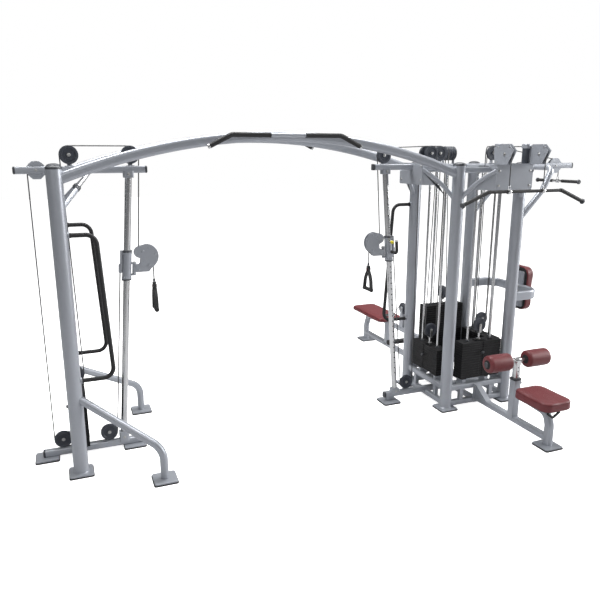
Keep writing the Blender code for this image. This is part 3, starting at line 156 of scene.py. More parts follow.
# pad: lowest corner, highest corner, corner radius, axis it swells along, most it swells
PADS = {
    "lat_seat_pad": ((-0.15, -1.40, LAT_PAD_Z[0]), (0.15, -0.995, LAT_PAD_Z[1]), 0.075, 2, 0.010),
    "row_bench_pad": ((-0.165, ROW_PAD_Y[0], 0.3973), (0.165, ROW_PAD_Y[1], BENCH_TOP_Z), 0.060, 2, 0.008),
    "back_support_pad": ((PAD_BACK_X, -0.14, 0.80), (PAD_BACK_X + PAD_THICK, 0.14, 1.25), 0.080, 0, 0.010),
}
CLOTH = {
    "quality": 6,
    "mass": 0.3,
    "tension_stiffness": 60,
    "compression_stiffness": 60,
    "bending_stiffness": 12,
    "use_pressure": True,
    "uniform_pressure_force": 4.0,
    "vertex_group_mass": "held",
}

# ---------------------------------------------------------------- camera and light
CAMERA_PLAN = (-3.58, -4.80, 2.35)
CAMERA_TILT = (76.4, 0.0, -21.6)
CAMERA_LENS = 36.3
CAMERA_SENSOR = 36.0

SMOOTH_ANGLE = 38
BEVEL = 0.0016
BEVEL_ANGLE = 50
ROUND = 28
X, Y, Z = (1, 0, 0), (0, 1, 0), (0, 0, 1)


# ---------------------------------------------------------------- shapes
def circle(radius, sides=ROUND, middle=(0.0, 0.0)):
    turns = [2 * math.pi * (i + 0.5) / sides for i in range(sides)]
    return [(middle[0] + radius * math.cos(t), middle[1] + radius * math.sin(t)) for t in turns]


def rounded(width, height, radius, steps=4, middle=(0.0, 0.0)):
    """Outline of a rectangle with rounded corners."""
    points = []
    for quarter, (sx, sy) in enumerate([(1, 1), (-1, 1), (-1, -1), (1, -1)]):
        cx = middle[0] + sx * (width / 2 - radius)
        cy = middle[1] + sy * (height / 2 - radius)
        for step in range(steps + 1):
            turn = math.pi / 2 * (quarter + step / steps)
            points.append((cx + radius * math.cos(turn), cy + radius * math.sin(turn)))
    return points


def bent(corners, radius, steps=9):
    """A path through corners whose inner corners are rounded to radius."""
    corners = [Vector(c) for c in corners]
    path = [corners[0]]
    for before, corner, after in zip(corners, corners[1:], corners[2:]):
        d0 = (corner - before).normalized()
        d1 = (after - corner).normalized()
        turn = d0.angle(d1)
        side = (d1 - d0 * d0.dot(d1)).normalized()
        centre = corner - d0 * radius * math.tan(turn / 2) + side * radius
        for step in range(steps + 1):
            a = turn * step / steps
            path.append(centre - side * radius * math.cos(a) + d0 * radius * math.sin(a))
    return path + [corners[-1]]


def skin(rings):
    """A closed form through rings of points, flat at both ends."""
    shape = bmesh.new()
    rings = [[shape.verts.new(point) for point in ring] for ring in rings]
    for low, high in zip(rings, rings[1:]):
        for i, corner in enumerate(low):
            j = (i + 1) % len(low)
            shape.faces.new((corner, low[j], high[j], high[i]))
    shape.faces.new(rings[0][::-1])
    shape.faces.new(rings[-1])
    bmesh.ops.recalc_face_normals(shape, faces=shape.faces)
    return shape


def sweep(path, section, side=Y):
    """Carry a closed section along a path with mitred corners and capped ends."""
    points = [Vector(p) for p in path]
    runs = [(b - a).normalized() for a, b in zip(points, points[1:])]
    across = Vector(side)
    across = (across - runs[0] * across.dot(runs[0])).normalized()
    up = runs[0].cross(across)
    rings = []
    for point, before, after in zip(points, [runs[0], *runs], [*runs, runs[-1]]):
        plane = (before + after).normalized()
        offsets = [across * a + up * b for a, b in section]
        rings.append([point + (o - before * (o.dot(plane) / before.dot(plane))) for o in offsets])
        turn = before.rotation_difference(after)
        across.rotate(turn)
        up.rotate(turn)
    return skin(rings)


def rod(start, end, radius, sides=ROUND):
    steep = abs(end[1] - start[1]) < 0.5 * math.dist(start, end)
    return sweep([start, end], circle(radius, sides), Y if steep else X)


def rail(start, end, width=RAIL, height=None, radius=0.009):
    """A straight square tube along X, Y or Z."""
    side = Y if start[1] == end[1] else X
    return sweep([start, end], rounded(width, height or width, radius), side)


def box(low, high):
    shape = bmesh.new()
    bmesh.ops.create_cube(shape, size=1)
    low, high = Vector(low), Vector(high)
    return moved(shape, Matrix.Translation((low + high) / 2) @ Matrix.Diagonal((*(high - low), 1)))


def block(x, y, half_x, half_y, low, high):
    """A box by its middle and half sizes in plan, and its two heights."""
    return box((x - half_x, y - half_y, low), (x + half_x, y + half_y, high))


def lifted(flat, axis, level):
    """The 3-D point at a level along axis (0 X, 1 Y, 2 Z), from its two other coordinates."""
    point = list(flat)
    point.insert(axis, level)
    return point


def slab(outline, axis, low, high):
    """Extrude a 2-D outline along axis from low to high."""
    return skin([[lifted(flat, axis, level) for flat in outline] for level in (low, high)])


def lathe(profile, centre, axis, sides=48):
    """Turn a (radius, offset) profile round an axis. It ends on the axis, or it is a loop."""
    shape = bmesh.new()
    spin = Vector(axis).to_track_quat("Z", "Y")
    rings = []
    for radius, level in profile:
        spots = [(0, 0, level)] if radius < 1e-9 else [(x, y, level) for x, y in circle(radius, sides)]
        rings.append([shape.verts.new(Vector(centre) + spin @ Vector(p)) for p in spots])
    pairs = list(zip(rings, rings[1:]))
    if len(rings[0]) > 1:
        pairs.append((rings[-1], rings[0]))
    for one, two in pairs:
        for i in range(sides):
            j = (i + 1) % sides
            corners = [one[i % len(one)], one[j % len(one)], two[j % len(two)], two[i % len(two)]]
            shape.faces.new(list(dict.fromkeys(corners)))
    bmesh.ops.recalc_face_normals(shape, faces=shape.faces)
    return shape


def disc(radius, low, high, centre, axis, sides=48):
    """A plain cylinder between two offsets from centre along axis."""
    return lathe([(0, high), (radius, high), (radius, low), (0, low)], centre, axis, sides)


def moved(shape, matrix):
    bmesh.ops.transform(shape, matrix=matrix, verts=shape.verts)
    return shape


def turned(parts, quarter):
    """Turn (shape, finish) parts by quarter turns round the core's axis."""
    spin = Matrix.Rotation(quarter * math.pi / 2, 4, "Z")
    return [(moved(shape, spin), finish) for shape, finish in parts]


def to_mesh(name, shape):
    """Mesh data from a shape, which is used up."""
    mesh = bpy.data.meshes.new(name)
    shape.to_mesh(mesh)
    shape.free()
    return mesh


def placed(name, data):
    obj = bpy.data.objects.new(name, data)
    bpy.context.scene.collection.objects.link(obj)
    return obj


def joined(shapes):
    whole = bmesh.new()
    for shape in shapes:
        mesh = to_mesh("part", shape)
        whole.from_mesh(mesh)
        bpy.data.meshes.remove(mesh)
    return whole


def cut(shape, cutters):
    """Take the cutters out of one shape."""
    base, *tools = [placed("scratch", to_mesh("scratch", s)) for s in (shape, *cutters)]
    for tool in tools:
        step = base.modifiers.new("cut", "BOOLEAN")
        step.operation = "DIFFERENCE"
        step.object = tool
    seen = base.evaluated_get(bpy.context.evaluated_depsgraph_get())
    result = bmesh.new()
    result.from_mesh(seen.data)
    for obj in [base, *tools]:
        bpy.data.objects.remove(obj, do_unlink=True)
    return result


def made(finish, *shapes):
    """Shapes with their finish, as show() takes them."""
    return [(shape, finish) for shape in shapes]


def mirrored(side):
    """A whole lathe profile from its upper half."""
    return side + [(radius, -level) for radius, level in side[::-1]]


# ---------------------------------------------------------------- materials
def plug(tree, socket, value):
    """Link an output socket to an input, or set the input to a plain value."""
    if isinstance(value, bpy.types.NodeSocket):
        tree.links.new(value, socket)
    else:
        socket.default_value = value


def add_node(tree, kind, settings=None, **inputs):
    """A shader node; settings are its own fields, inputs its sockets by name."""
    node = tree.nodes.new(kind)
    for key, value in (settings or {}).items():
        setattr(node, key, value)
    for key, value in inputs.items():
        plug(tree, node.inputs[key.replace("_", " ")], value)
    return node


def noise_at(tree, where, scale, detail=3.0):
    return add_node(tree, "ShaderNodeTexNoise", Vector=where, Scale=scale, Detail=detail).outputs["Fac"]


def mapped(tree, value, **limits):
    """Map a value linearly; the limits not given are 0 and 1."""
    return add_node(tree, "ShaderNodeMapRange", Value=value, **limits).outputs["Result"]


def mixed(tree, *fac_and_colors):
    node = add_node(tree, "ShaderNodeMix", {"data_type": "RGBA"})
    for index, value in zip((0, 6, 7), fac_and_colors):
        plug(tree, node.inputs[index], value)
    return node.outputs[2]


def shade(color, factor):
    return (*[min(1.0, c * factor) for c in color], 1)


def surface(name, color, rough, metal=0.0, spread=0.12, grain=(), wear=0.0, wear_color=None, **extra):
    """A finish whose colour and roughness drift, with bump at each (kind, scale, strength)."""
    finish = bpy.data.materials.new(name)
    finish.use_nodes = True
    tree = finish.node_tree
    sockets = tree.nodes["Principled BSDF"].inputs
    where = add_node(tree, "ShaderNodeTexCoord").outputs["Object"]
    tint = mixed(tree, noise_at(tree, where, 3.5, 5.0), shade(color, 1 - spread), shade(color, 1 + spread))
    if wear:
        bend = add_node(tree, "ShaderNodeNewGeometry").outputs["Pointiness"]
        worn = add_node(tree, "ShaderNodeMath", {"operation": "MULTIPLY"})
        plug(tree, worn.inputs[0], mapped(tree, bend, From_Min=0.52, From_Max=0.60))
        plug(tree, worn.inputs[1], mapped(tree, noise_at(tree, where, 40.0), To_Min=0.0, To_Max=wear))
        tint = mixed(tree, worn.outputs[0], tint, (*wear_color, 1))
    rub = mapped(tree, noise_at(tree, where, 22.0, 4.0), To_Min=rough * 0.8, To_Max=rough * 1.2)
    for key, value in {"Base_Color": tint, "Roughness": rub, "Metallic": metal, **extra}.items():
        plug(tree, sockets[key.replace("_", " ")], value)
    for kind, scale, strength in grain:
        if kind == "noise":
            height = noise_at(tree, where, scale, 2.0)
        else:
            height = add_node(tree, "ShaderNodeTexVoronoi", Vector=where, Scale=scale).outputs["Distance"]
        add_bump(tree, height, strength, 0.001)
    return finish


def add_bump(tree, height, strength, distance):
    """Put a bump between the shader and any bump that it already has."""
    normal = tree.nodes["Principled BSDF"].inputs["Normal"]
    bump = add_node(tree, "ShaderNodeBump", Height=height, Strength=strength, Distance=distance)
    if normal.links:
        plug(tree, bump.inputs["Normal"], normal.links[0].from_socket)
    plug(tree, normal, bump.outputs["Normal"])


def webbing():
    """Black nylon strap with a ribbed weave."""
    grain = [("noise", 900.0, 0.3)]
    finish = surface("strap_webbing", (0.018, 0.018, 0.019), 0.75, 0.0, 0.2, grain, Sheen_Weight=0.3)
    tree = finish.node_tree
    where = add_node(tree, "ShaderNodeTexCoord").outputs["Object"]
    weave = {"bands_direction": "Z"}
    ribs = add_node(tree, "ShaderNodeTexWave", weave, Vector=where, Scale=160.0, Distortion=0.4)
    add_bump(tree, ribs.outputs["Fac"], 0.6, 0.0012)
    return finish


def make_materials():
    """Every finish of the object, by name: colour, roughness, metal, drift, grain and wear."""
    return {
        "paint": surface(
            "silver_paint", (0.375, 0.395, 0.435), 0.36, 0.40, 0.05,
            [("noise", 900.0, 0.05), ("noise", 60.0, 0.03)],
            0.35, (0.62, 0.64, 0.67), Coat_Weight=0.35, Coat_Roughness=0.18,
        ),
        "chrome": surface("chrome", (0.67, 0.675, 0.68), 0.20, 1.0, 0.03, [("noise", 500.0, 0.02)]),
        "zinc": surface("zinc_bolt", (0.50, 0.50, 0.49), 0.34, 1.0, 0.10, [("noise", 700.0, 0.12)]),
        "grip": surface(
            "grip_rubber", (0.014, 0.014, 0.015), 0.62, 0.0, 0.20,
            [("voronoi", 750.0, 0.35), ("noise", 90.0, 0.10)],
        ),
        "rubber": surface("foot_rubber", (0.022, 0.022, 0.023), 0.80, 0.0, 0.20, [("noise", 400.0, 0.35)]),
        "cap": surface("cap_plastic", (0.050, 0.054, 0.062), 0.42, 0.0, 0.12, [("noise", 1100.0, 0.10)]),
        "pulley": surface(
            "pulley_nylon", (0.040, 0.046, 0.060), 0.42, 0.0, 0.14,
            [("noise", 800.0, 0.12), ("noise", 35.0, 0.06)], 0.5, (0.16, 0.17, 0.19),
        ),
        "iron": surface(
            "stack_iron", (0.010, 0.010, 0.011), 0.55, 0.15, 0.25,
            [("noise", 520.0, 0.30), ("noise", 120.0, 0.15)],
            0.15, (0.06, 0.06, 0.06), Specular_IOR_Level=0.3,
        ),
        "vinyl": surface(
            "maroon_vinyl", (0.140, 0.016, 0.020), 0.46, 0.0, 0.14,
            [("voronoi", 620.0, 0.42), ("noise", 260.0, 0.22), ("noise", 18.0, 0.18)],
            Coat_Weight=0.15, Coat_Roughness=0.38, Sheen_Weight=0.05,
        ),
        "stitch": surface("stitch_thread", (0.10, 0.014, 0.018), 0.8, 0.0, 0.1, [("noise", 1500.0, 0.4)]),
        "board": surface("pad_board", (0.018, 0.018, 0.019), 0.65, 0.0, 0.2, [("noise", 300.0, 0.3)]),
        "webbing": webbing(),
        "cable": surface(
            "cable_jacket", (0.060, 0.061, 0.064), 0.45, 0.0, 0.10, [("noise", 900.0, 0.15)], Coat_Weight=0.3,
        ),
        "yellow": surface("knob_yellow", (0.72, 0.62, 0.03), 0.32, 0.0, 0.06, [("noise", 600.0, 0.06)]),
    }


# ---------------------------------------------------------------- showing pieces
def show(name, body, parts, stands_for=(), bevel=BEVEL):
    """Join (shape, finish) parts into one mesh that rides on a body."""
    used = list(dict.fromkeys(finish for _, finish in parts))
    for shape, finish in parts:
        for face in shape.faces:
            face.material_index = used.index(finish)
    mesh = to_mesh(name, joined(shape for shape, _ in parts))
    mesh.transform(Matrix.Translation(ORIGIN))
    for finish in used:
        mesh.materials.append(MATERIALS[finish])
    mesh.shade_smooth()
    mesh.set_sharp_from_angle(angle=math.radians(SMOOTH_ANGLE))
    obj = placed(name, mesh)
    if bevel:
        step = obj.modifiers.new("edges", "BEVEL")
        step.width = bevel
        step.segments = 2
        step.limit_method = "ANGLE"
        step.angle_limit = math.radians(BEVEL_ANGLE)
        step.harden_normals = True
    if body:
        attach(obj, body)
    if stands_for:
        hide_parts(*stands_for)
    return obj


def show_node(node, body, parts, bevel=BEVEL):
    """Show the detailed look of one CAD node."""
    return show(f"{node}_look", body, parts, [node], bevel)


def show_steel(node, parts):
    return show_node(node, "frame", parts)


# ---------------------------------------------------------------- small fittings
def bolt(spot, axis, radius=0.010, height=0.006):
    """A hex head on a washer; axis points out of the surface."""
    head = [(0, height), (radius * 0.75, height), (radius, height * 0.8), (radius, 0), (0, 0)]
    return made("zinc", disc(radius * 1.35, -0.001, 0.0015, spot, axis, 24), lathe(head, spot, axis, 6))


def painted(parts):
    return made("paint", *[shape for shape, _ in parts])


def pulley(centre, axis, radius=PULLEY_RADIUS, half=PULLEY_HALF):
    """A moulded pulley: hub, dished web, thick rim and a round groove."""
    dish = half * 0.62
    side = [
        (0.009, half), (0.017, half), (0.020, dish), (radius * 0.66, dish), (radius * 0.73, half),
        (radius - 0.0015, half), (radius, half - 0.0015), (radius, dish),
        (radius - 0.0042, 0.0042), (radius - 0.0060, 0.0022),
    ]
    bearing = disc(0.0092, -half - 0.0006, half + 0.0006, centre, axis, 28)
    return made("pulley", lathe(mirrored(side), centre, axis)) + made("zinc", bearing)


def small_pulley(centre, axis, radius, half):
    side = [
        (0.006, half), (radius - 0.0012, half), (radius, half - 0.0012), (radius, half * 0.7),
        (radius - 0.005, 0.002),
    ]
    return made("pulley", lathe(mirrored(side), centre, axis, 36))


def bracket(x, z, base_z, y=0.0):
    """A strip and axle bolt behind a pulley that stands on a beam."""
    front, back = y - PULLEY_HALF, y + PULLEY_HALF
    near, far = min(y, 0) - 0.02, back + 0.0085
    low, high = base_z - 0.004, z + 0.02
    strip = rounded(0.032, high - low, 0.012, 4, (x, (low + high) / 2))
    tongue = rounded(0.06, far - near, 0.008, 3, (x, (near + far) / 2))
    parts = made(
        "paint", slab(strip, 1, back + 0.002, back + 0.008), slab(tongue, 2, base_z - 0.003, base_z + 0.004)
    )
    parts += made("zinc", rod((x, front - 0.004, z), (x, back + 0.010, z), 0.006, 20))
    parts += bolt((x, front - 0.001, z), (0, -1, 0), 0.010, 0.007)
    return parts + bolt((x, back + 0.008, z), Y, 0.010, 0.007)


def standing_pulley(x, z, base_z, y=0.0):
    return bracket(x, z, base_z, y) + pulley((x, y, z), Y)


def guarded_pulley(x, z, guard_radius):
    """A pulley in a slot of a beam, between two eight-sided guards that stand in the slot."""
    parts = pulley((x, 0, z), Y, 0.0630, 0.009)
    for side in (-1, 1):
        near, far = sorted((side * 0.0125, side * 0.0165))
        parts += made("paint", slab(circle(guard_radius, 8, (x, z)), 1, near, far))
        parts += bolt((x, side * BEAM / 2, z), (0, side, 0), 0.007, 0.004)
    return parts


def end_cap(x, z, out):
    """A plastic plug in the end of a beam along X: a rim and a smaller face."""
    rim = rounded(BEAM + 0.001, BEAM + 0.001, 0.010, middle=(0, z))
    face = rounded(BEAM * 0.8, BEAM * 0.8, 0.008, middle=(0, z))
    shapes = [slab(rim, 0, *sorted((x - out * 0.014, x))), slab(face, 0, *sorted((x, x + out * 0.003)))]
    return made("cap", *shapes)


def foot(x, y, size=FOOT_PLATE):
    """A steel foot plate on a rubber pad."""
    steel = slab(rounded(size - 0.010, size - 0.010, 0.014, 4, (x, y)), 2, RUBBER, PLATE_TOP)
    pad = slab(rounded(size, size, 0.016, 4, (x, y)), 2, 0.0, RUBBER + 0.0005)
    return made("paint", steel) + made("rubber", pad)


# ---------------------------------------------------------------- posts and arches
def show_post(node, x, y):
    """A round post with a fillet at its foot plate and a domed cap."""
    r = POST_RADIUS
    weld = [(r - 0.002, 0.007), (r + 0.0015, 0.0055), (r + 0.0055, 0.0015), (r + 0.007, 0), (r - 0.002, 0)]
    dome = [
        (0, 0.016), (0.018, 0.0150), (0.034, 0.0118), (0.046, 0.0068), (r - 0.001, 0.0015),
        (r + 0.0006, -0.002), (r + 0.0006, -0.014), (0, -0.014),
    ]
    parts = made("paint", disc(r, 0.012, POST_TOP, (x, y, 0), Z, 64), lathe(weld, (x, y, PLATE_TOP), Z))
    parts += made("cap", lathe(dome, (x, y, POST_TOP), Z, 64))
    show_steel(node, parts + foot(x, y, POST_PLATE))


def arch_path(steps=64):
    half = (-CORE_X - END_X) / 2
    rise = ARCH_CROWN_Z - ARCH_SPRING_Z
    radius = (half * half + rise * rise) / (2 * rise)
    middle = (END_X - CORE_X) / 2
    reach = math.asin(half / radius)
    turns = [reach * (2 * i / steps - 1) for i in range(steps + 1)]
    low = ARCH_CROWN_Z - radius
    return [(middle + radius * math.sin(t), low + radius * math.cos(t)) for t in turns]


def show_arch(node, y):
    path = [(x, y, z) for x, z in arch_path()]
    show_steel(node, made("paint", sweep(path, rounded(0.060, 0.076, 0.027, 7))))


def along(path, low, high):
    """The part of an X-monotonic path between two x values."""
    points = [Vector(p) for p in path]
    kept = []
    for a, b in zip(points, points[1:]):
        for edge in (low, high):
            if a.x < edge < b.x:
                kept.append(a.lerp(b, (edge - a.x) / (b.x - a.x)))
        if low <= b.x <= high:
            kept.append(b)
        if a is points[0] and low <= a.x <= high:
            kept.insert(0, a)
    return sorted(kept, key=lambda p: p.x)


def show_pull_up_bar(node, side):
    """A bare middle, two rubber grips with droop, chrome tips, and two welded arms."""
    y, z = side * PULL_UP_Y, PULL_UP_Z
    middle = (END_X - CORE_X) / 2
    low, high = middle - PULL_UP_HALF, middle + PULL_UP_HALF
    bare_low, bare_high = middle - PULL_UP_BARE, middle + PULL_UP_BARE
    path = bent([
        (low, y, z - PULL_UP_DROP), (middle - PULL_UP_BEND, y, z),
        (middle + PULL_UP_BEND, y, z), (high, y, z - PULL_UP_DROP),
    ], 0.07)
    parts = []
    for finish, radius, start, end in (
        ("paint", 0.0145, bare_low - 0.01, bare_high + 0.01),
        ("grip", 0.0178, low + 0.012, bare_low),
        ("grip", 0.0178, bare_high, high - 0.012),
        ("chrome", 0.0165, low, low + 0.014),
        ("chrome", 0.0165, high - 0.014, high),
    ):
        parts += made(finish, sweep(along(path, start, end), circle(radius)))
    for x in (bare_low, bare_high):
        parts += made("grip", rod((x - 0.004, y, z), (x + 0.004, y, z), 0.019))
    for x in (middle - 0.07, middle + 0.07):
        parts += made("paint", rod((x, side * (POST_Y + 0.028), z - 0.004), (x, y, z - 0.004), 0.0125))
    show_node(node, "frame", parts, 0.0012)


def show_grab_rail(node, x, y, out, top, bottom, top_reach, bottom_reach):
    corners = [
        (x, y, top), (x + out * top_reach, y, top), (x + out * bottom_reach, y, bottom), (x, y, bottom)
    ]
    parts = made("grip", sweep(bent(corners, 0.075, 12), circle(0.016)))
    near = x + out * (POST_RADIUS - 0.003)
    for z in (top, bottom):
        parts += made("paint", rod((near, y, z), (near + out * 0.010, y, z), 0.024))
        parts += made("grip", rod((near + out * 0.008, y, z), (near + out * 0.022, y, z), 0.0185))
    show_node(node, "frame", parts, 0.0012)


# ---------------------------------------------------------------- end tower
def plugged_beam(low_x, high_x, z, slots=(), radius=0.009):
    """A beam along X with the slots cut out and a plastic plug in each end."""
    tube = rail((low_x + 0.004, 0, z), (high_x - 0.004, 0, z), BEAM, radius=radius)
    parts = made("paint", cut(tube, slots) if slots else tube)
    return parts + end_cap(low_x + 0.003, z, -1) + end_cap(high_x - 0.003, z, 1)


def show_end_top_beam():
    z = TOP_BEAM_Z - 0.012
    slots = [(END_HOUSED_X, 0.072, 0.018), (-3.535, 0.020, 0.006), (-2.985, 0.015, 0.006)]
    slots = [block(x, 0, half_x, half_y, *SLOT_CUT) for x, half_x, half_y in slots]
    parts = plugged_beam(END_BEAM_OUTER_X, END_TOP_INNER_X, TOP_BEAM_Z, slots)
    parts += made("paint", rail((END_X, -POST_Y, z), (END_X, POST_Y, z)))
    for side in (-1, 1):
        parts += brace(
            Vector((END_X + 0.02, side * POST_Y, 1.97)), Vector((-3.34, side * 0.018, TOP_BEAM_Z - 0.01))
        )
    for x, pulley_z in END_TOP.values():
        parts += bracket(x, pulley_z, TOP_BEAM_Z + BEAM / 2)
    parts += guarded_pulley(END_HOUSED_X, TOP_BEAM_Z, 0.068)
    parts += column_socket("end", 2.175, TOP_BEAM_Z - 0.01, 2.19)
    show_steel("end_top_beam", parts)


def brace(low, high):
    """A turnbuckle strut: a thick sleeve, a black lock collar and a chrome rod."""
    middle = low.lerp(high, 0.55)
    way = (high - low).normalized() * 0.018
    parts = made("paint", rod(low, middle, 0.0165)) + made("chrome", rod(middle, high, 0.0115))
    return parts + made("cap", rod(middle - way, middle + way, 0.0205, 6))


def column_socket(which, low, high, at):
    """The clamp block that holds a cable column, with its cross bolts."""
    x = column_x(which, at)
    parts = made("paint", slab(rounded(0.076, 0.068, 0.012, 4, (x, 0)), 2, low, high))
    for side in (-1, 1):
        parts += bolt((x, side * 0.034, (low + high) / 2), (0, side, 0), 0.009)
    return parts


def show_end_base_beam():
    z = END_BASE_Z
    parts = plugged_beam(END_BEAM_OUTER_X, END_BASE_INNER_X, z)
    parts += made("paint", rail((END_X, -POST_Y, z), (END_X, POST_Y, z)))
    for x in END_FEET_X:
        parts += foot(x, 0)
    for x, pulley_z in END_LOW.values():
        parts += bracket(x, pulley_z, z + BEAM / 2)
    for side in (-1, 1):
        parts += made("paint", block(-3.575, side * 0.16, 0.035, 0.06, z, 0.142))
        parts += made("rubber", block(-3.575, side * 0.16, 0.045, 0.05, 0.141, 0.150))
    show_steel("end_base_beam", parts + column_socket("end", z, 0.135, 0.12))


def show_end_leg(node, side):
    place = Vector((-3.02, side * 0.67, 0))
    root = Vector((END_X, side * POST_Y, 0))
    corners = [root + Vector((0, 0, 0.62)), place + Vector((0, 0, 0.25)), place + Vector((0, 0, 0.012))]
    way = (place - root).normalized()
    leg = sweep(bent(corners, 0.15, 14), rounded(0.05, 0.056, 0.019, 6), (-way.y, way.x, 0))
    show_steel(node, made("paint", leg) + foot(place.x, place.y))


# ---------------------------------------------------------------- core tower
def hood_side(side, front, low_z):
    """One curved arm with its web, from a post to the front plate, and the plate's bolts."""
    root = Vector((side * CORE_X, -POST_Y, 1.93))
    tip = Vector((side * (HOOD_HALF - 0.012), -front + 0.004, 2.215))
    lift = root.lerp(tip, 0.36)
    lift.z = 2.10
    arm = [root.lerp(lift, t / 14).lerp(lift.lerp(tip, t / 14), t / 14) for t in range(15)]
    out = Vector((tip.x - root.x, tip.y - root.y, 0)).normalized()
    reach = math.hypot(tip.x - root.x, tip.y - root.y) + 0.002
    web = slab([(0.10, 1.99), (0.16, low_z), (reach, low_z), (reach, 2.20), (0.20, 2.12)], 1, -0.003, 0.003)
    place = Matrix.Translation((root.x, root.y, 0)) @ Matrix.Rotation(math.atan2(out.y, out.x), 4, "Z")
    parts = made("paint", sweep(arm, rounded(0.036, 0.036, 0.014, 5), (-out.y, out.x, 0)), moved(web, place))
    for dz in (0.04, 0.16):
        parts += bolt((side * (HOOD_HALF - 0.03), -front, low_z + dz), (0, -1, 0), 0.008, 0.005)
    return parts


def hood(quarter, front, low_z):
    """A front plate held out from two posts, made for -Y and turned into place."""
    outline = rounded(2 * HOOD_HALF, HOOD_TOP_Z - low_z, 0.012, 4, (0, (low_z + HOOD_TOP_Z) / 2))
    z = TOP_BEAM_Z - 0.004
    parts = made(
        "paint", slab(outline, 1, -front, -front + 0.008), rail((0, -front + 0.004, z), (0, -0.2, z))
    )
    return turned(parts + hood_side(-1, front, low_z) + hood_side(1, front, low_z), quarter)


def core_ring(z):
    shapes = []
    for side in (-1, 1):
        x, y = side * CORE_X, side * POST_Y
        shapes += [rail((-CORE_X, y, z), (CORE_X, y, z)), rail((x, -POST_Y, z), (x, POST_Y, z))]
    return made("paint", *shapes)


def triceps_brace():
    half = [(CORE_X, 1.74), (0.60, 2.02), (0.695, 2.225)]
    corners = [(x, -POST_Y, z) for x, z in half] + [(x, POST_Y, z) for x, z in half[::-1]]
    return sweep(bent(corners, 0.06, 10), rounded(0.05, 0.05, 0.021, 6))


def lat_housing(side):
    """Guard plates, pulley and upright roller over one side of the pulldown seat."""
    x = side * LAT_CABLE_X
    y, z = LAT_CABLE_Y + WRAP, LAT_HUB_Z
    outline = [
        (-0.60, 2.395), (-0.66, 2.426), (-0.775, 2.426), (-0.835, 2.375), (-0.775, 2.265), (-0.62, 2.262)
    ]
    parts = pulley((x, y, z), X, PULLEY_RADIUS, 0.009)
    for out, near in ((-1, x - 0.019), (1, x + 0.014)):
        parts += made("paint", slab(outline, 0, near, near + 0.005))
        parts += bolt((x + out * 0.019, y, z), (out, 0, 0), 0.010, 0.006)
        for screw_y, screw_z in ((-0.64, 2.285), (-0.65, 2.40), (-0.79, 2.40)):
            parts += bolt((x + out * 0.019, screw_y, screw_z), (out, 0, 0), 0.005, 0.003)
    roller_x = side * (LAT_CABLE_X - 0.030 - CABLE_RADIUS)
    drum = [
        (0, 0.178), (0.012, 0.178), (0.015, 0.170), (0.0285, 0.170), (0.030, 0.166), (0.030, 0.006),
        (0.028, 0), (0, 0),
    ]
    lid = [
        (0, 0.013), (0.028, 0.013), (0.036, 0.009), (0.037, 0.004), (0.037, -0.022), (0.035, -0.024),
        (0, -0.024),
    ]
    parts += made("pulley", lathe(drum, (roller_x, -0.60, 2.25), Z))
    base = rounded(0.1, 0.098, 0.01, 4, (roller_x, -0.599))
    parts += made(
        "paint", block(x, -0.64, 0.017, 0.015, 2.262, 2.30), slab(base, 2, 2.238, 2.262),
        lathe(lid, (roller_x, -0.60, 2.417), Z),
    )
    return parts


def row_bank():
    """The row station's top pulley, the three beside it on the same axle, and their cheek plate."""
    y, z = ROW_TOP
    low, far = TOP_BEAM_Z - 0.006, ROW_BANK_X[-1] + 0.020
    parts = turned(standing_pulley(y, z, low + 0.025), 1)
    for x in ROW_BANK_X:
        parts += pulley((x, y, z), X)
    parts += made("zinc", rod((0, y, z), (far, y, z), 0.006, 20))
    cheek = box((far - 0.006, y - 0.016, low), (far, y + 0.016, z + 0.02))
    return parts + made("paint", cheek, box((0.02, y - 0.016, low), (far, y + 0.016, low + 0.02)))


def show_core_top_frame():
    slots = [
        (TRICEPS_HOUSED_X, 0, 0.078, 0.018), (0.2175, 0, 0.0175, 0.006), (-0.955, 0, 0.015, 0.006),
        (-0.3495, -0.013, 0.0165, 0.009),
    ]
    holes = [(-0.027, -0.285, 0.013, 0.012), (0, 0.302, 0.007, 0.018)]
    slots, holes = [[block(*spot, *SLOT_CUT) for spot in spots] for spots in (slots, holes)]
    z = TOP_BEAM_Z - 0.006
    cross = cut(rail((0, -POST_Y, z), (0, ROW_TOP[0] + 0.04, z)), holes)
    parts = plugged_beam(CORE_BEAM_INNER_X, CORE_BEAM_OUTER_X, TOP_BEAM_Z, slots, 0.014)
    parts += made("paint", cross, triceps_brace()) + core_ring(TOP_BEAM_Z - 0.022)
    parts += hood(*FRONT_HOOD) + hood(*LEFT_HOOD)
    parts += guarded_pulley(TRICEPS_HOUSED_X, TOP_BEAM_Z, 0.078)
    parts += column_socket("core", 2.175, TOP_BEAM_Z - 0.01, 2.19)
    for x, pulley_z, y in [(*CORE_TOP_PULLEY, 0), (*TRICEPS_GUIDE, 0), *STACK_GUIDES]:
        parts += standing_pulley(x, pulley_z, TOP_BEAM_Z + BEAM / 2, y)
    show_steel("core_top_frame", parts + row_bank() + lat_housing(-1) + lat_housing(1))


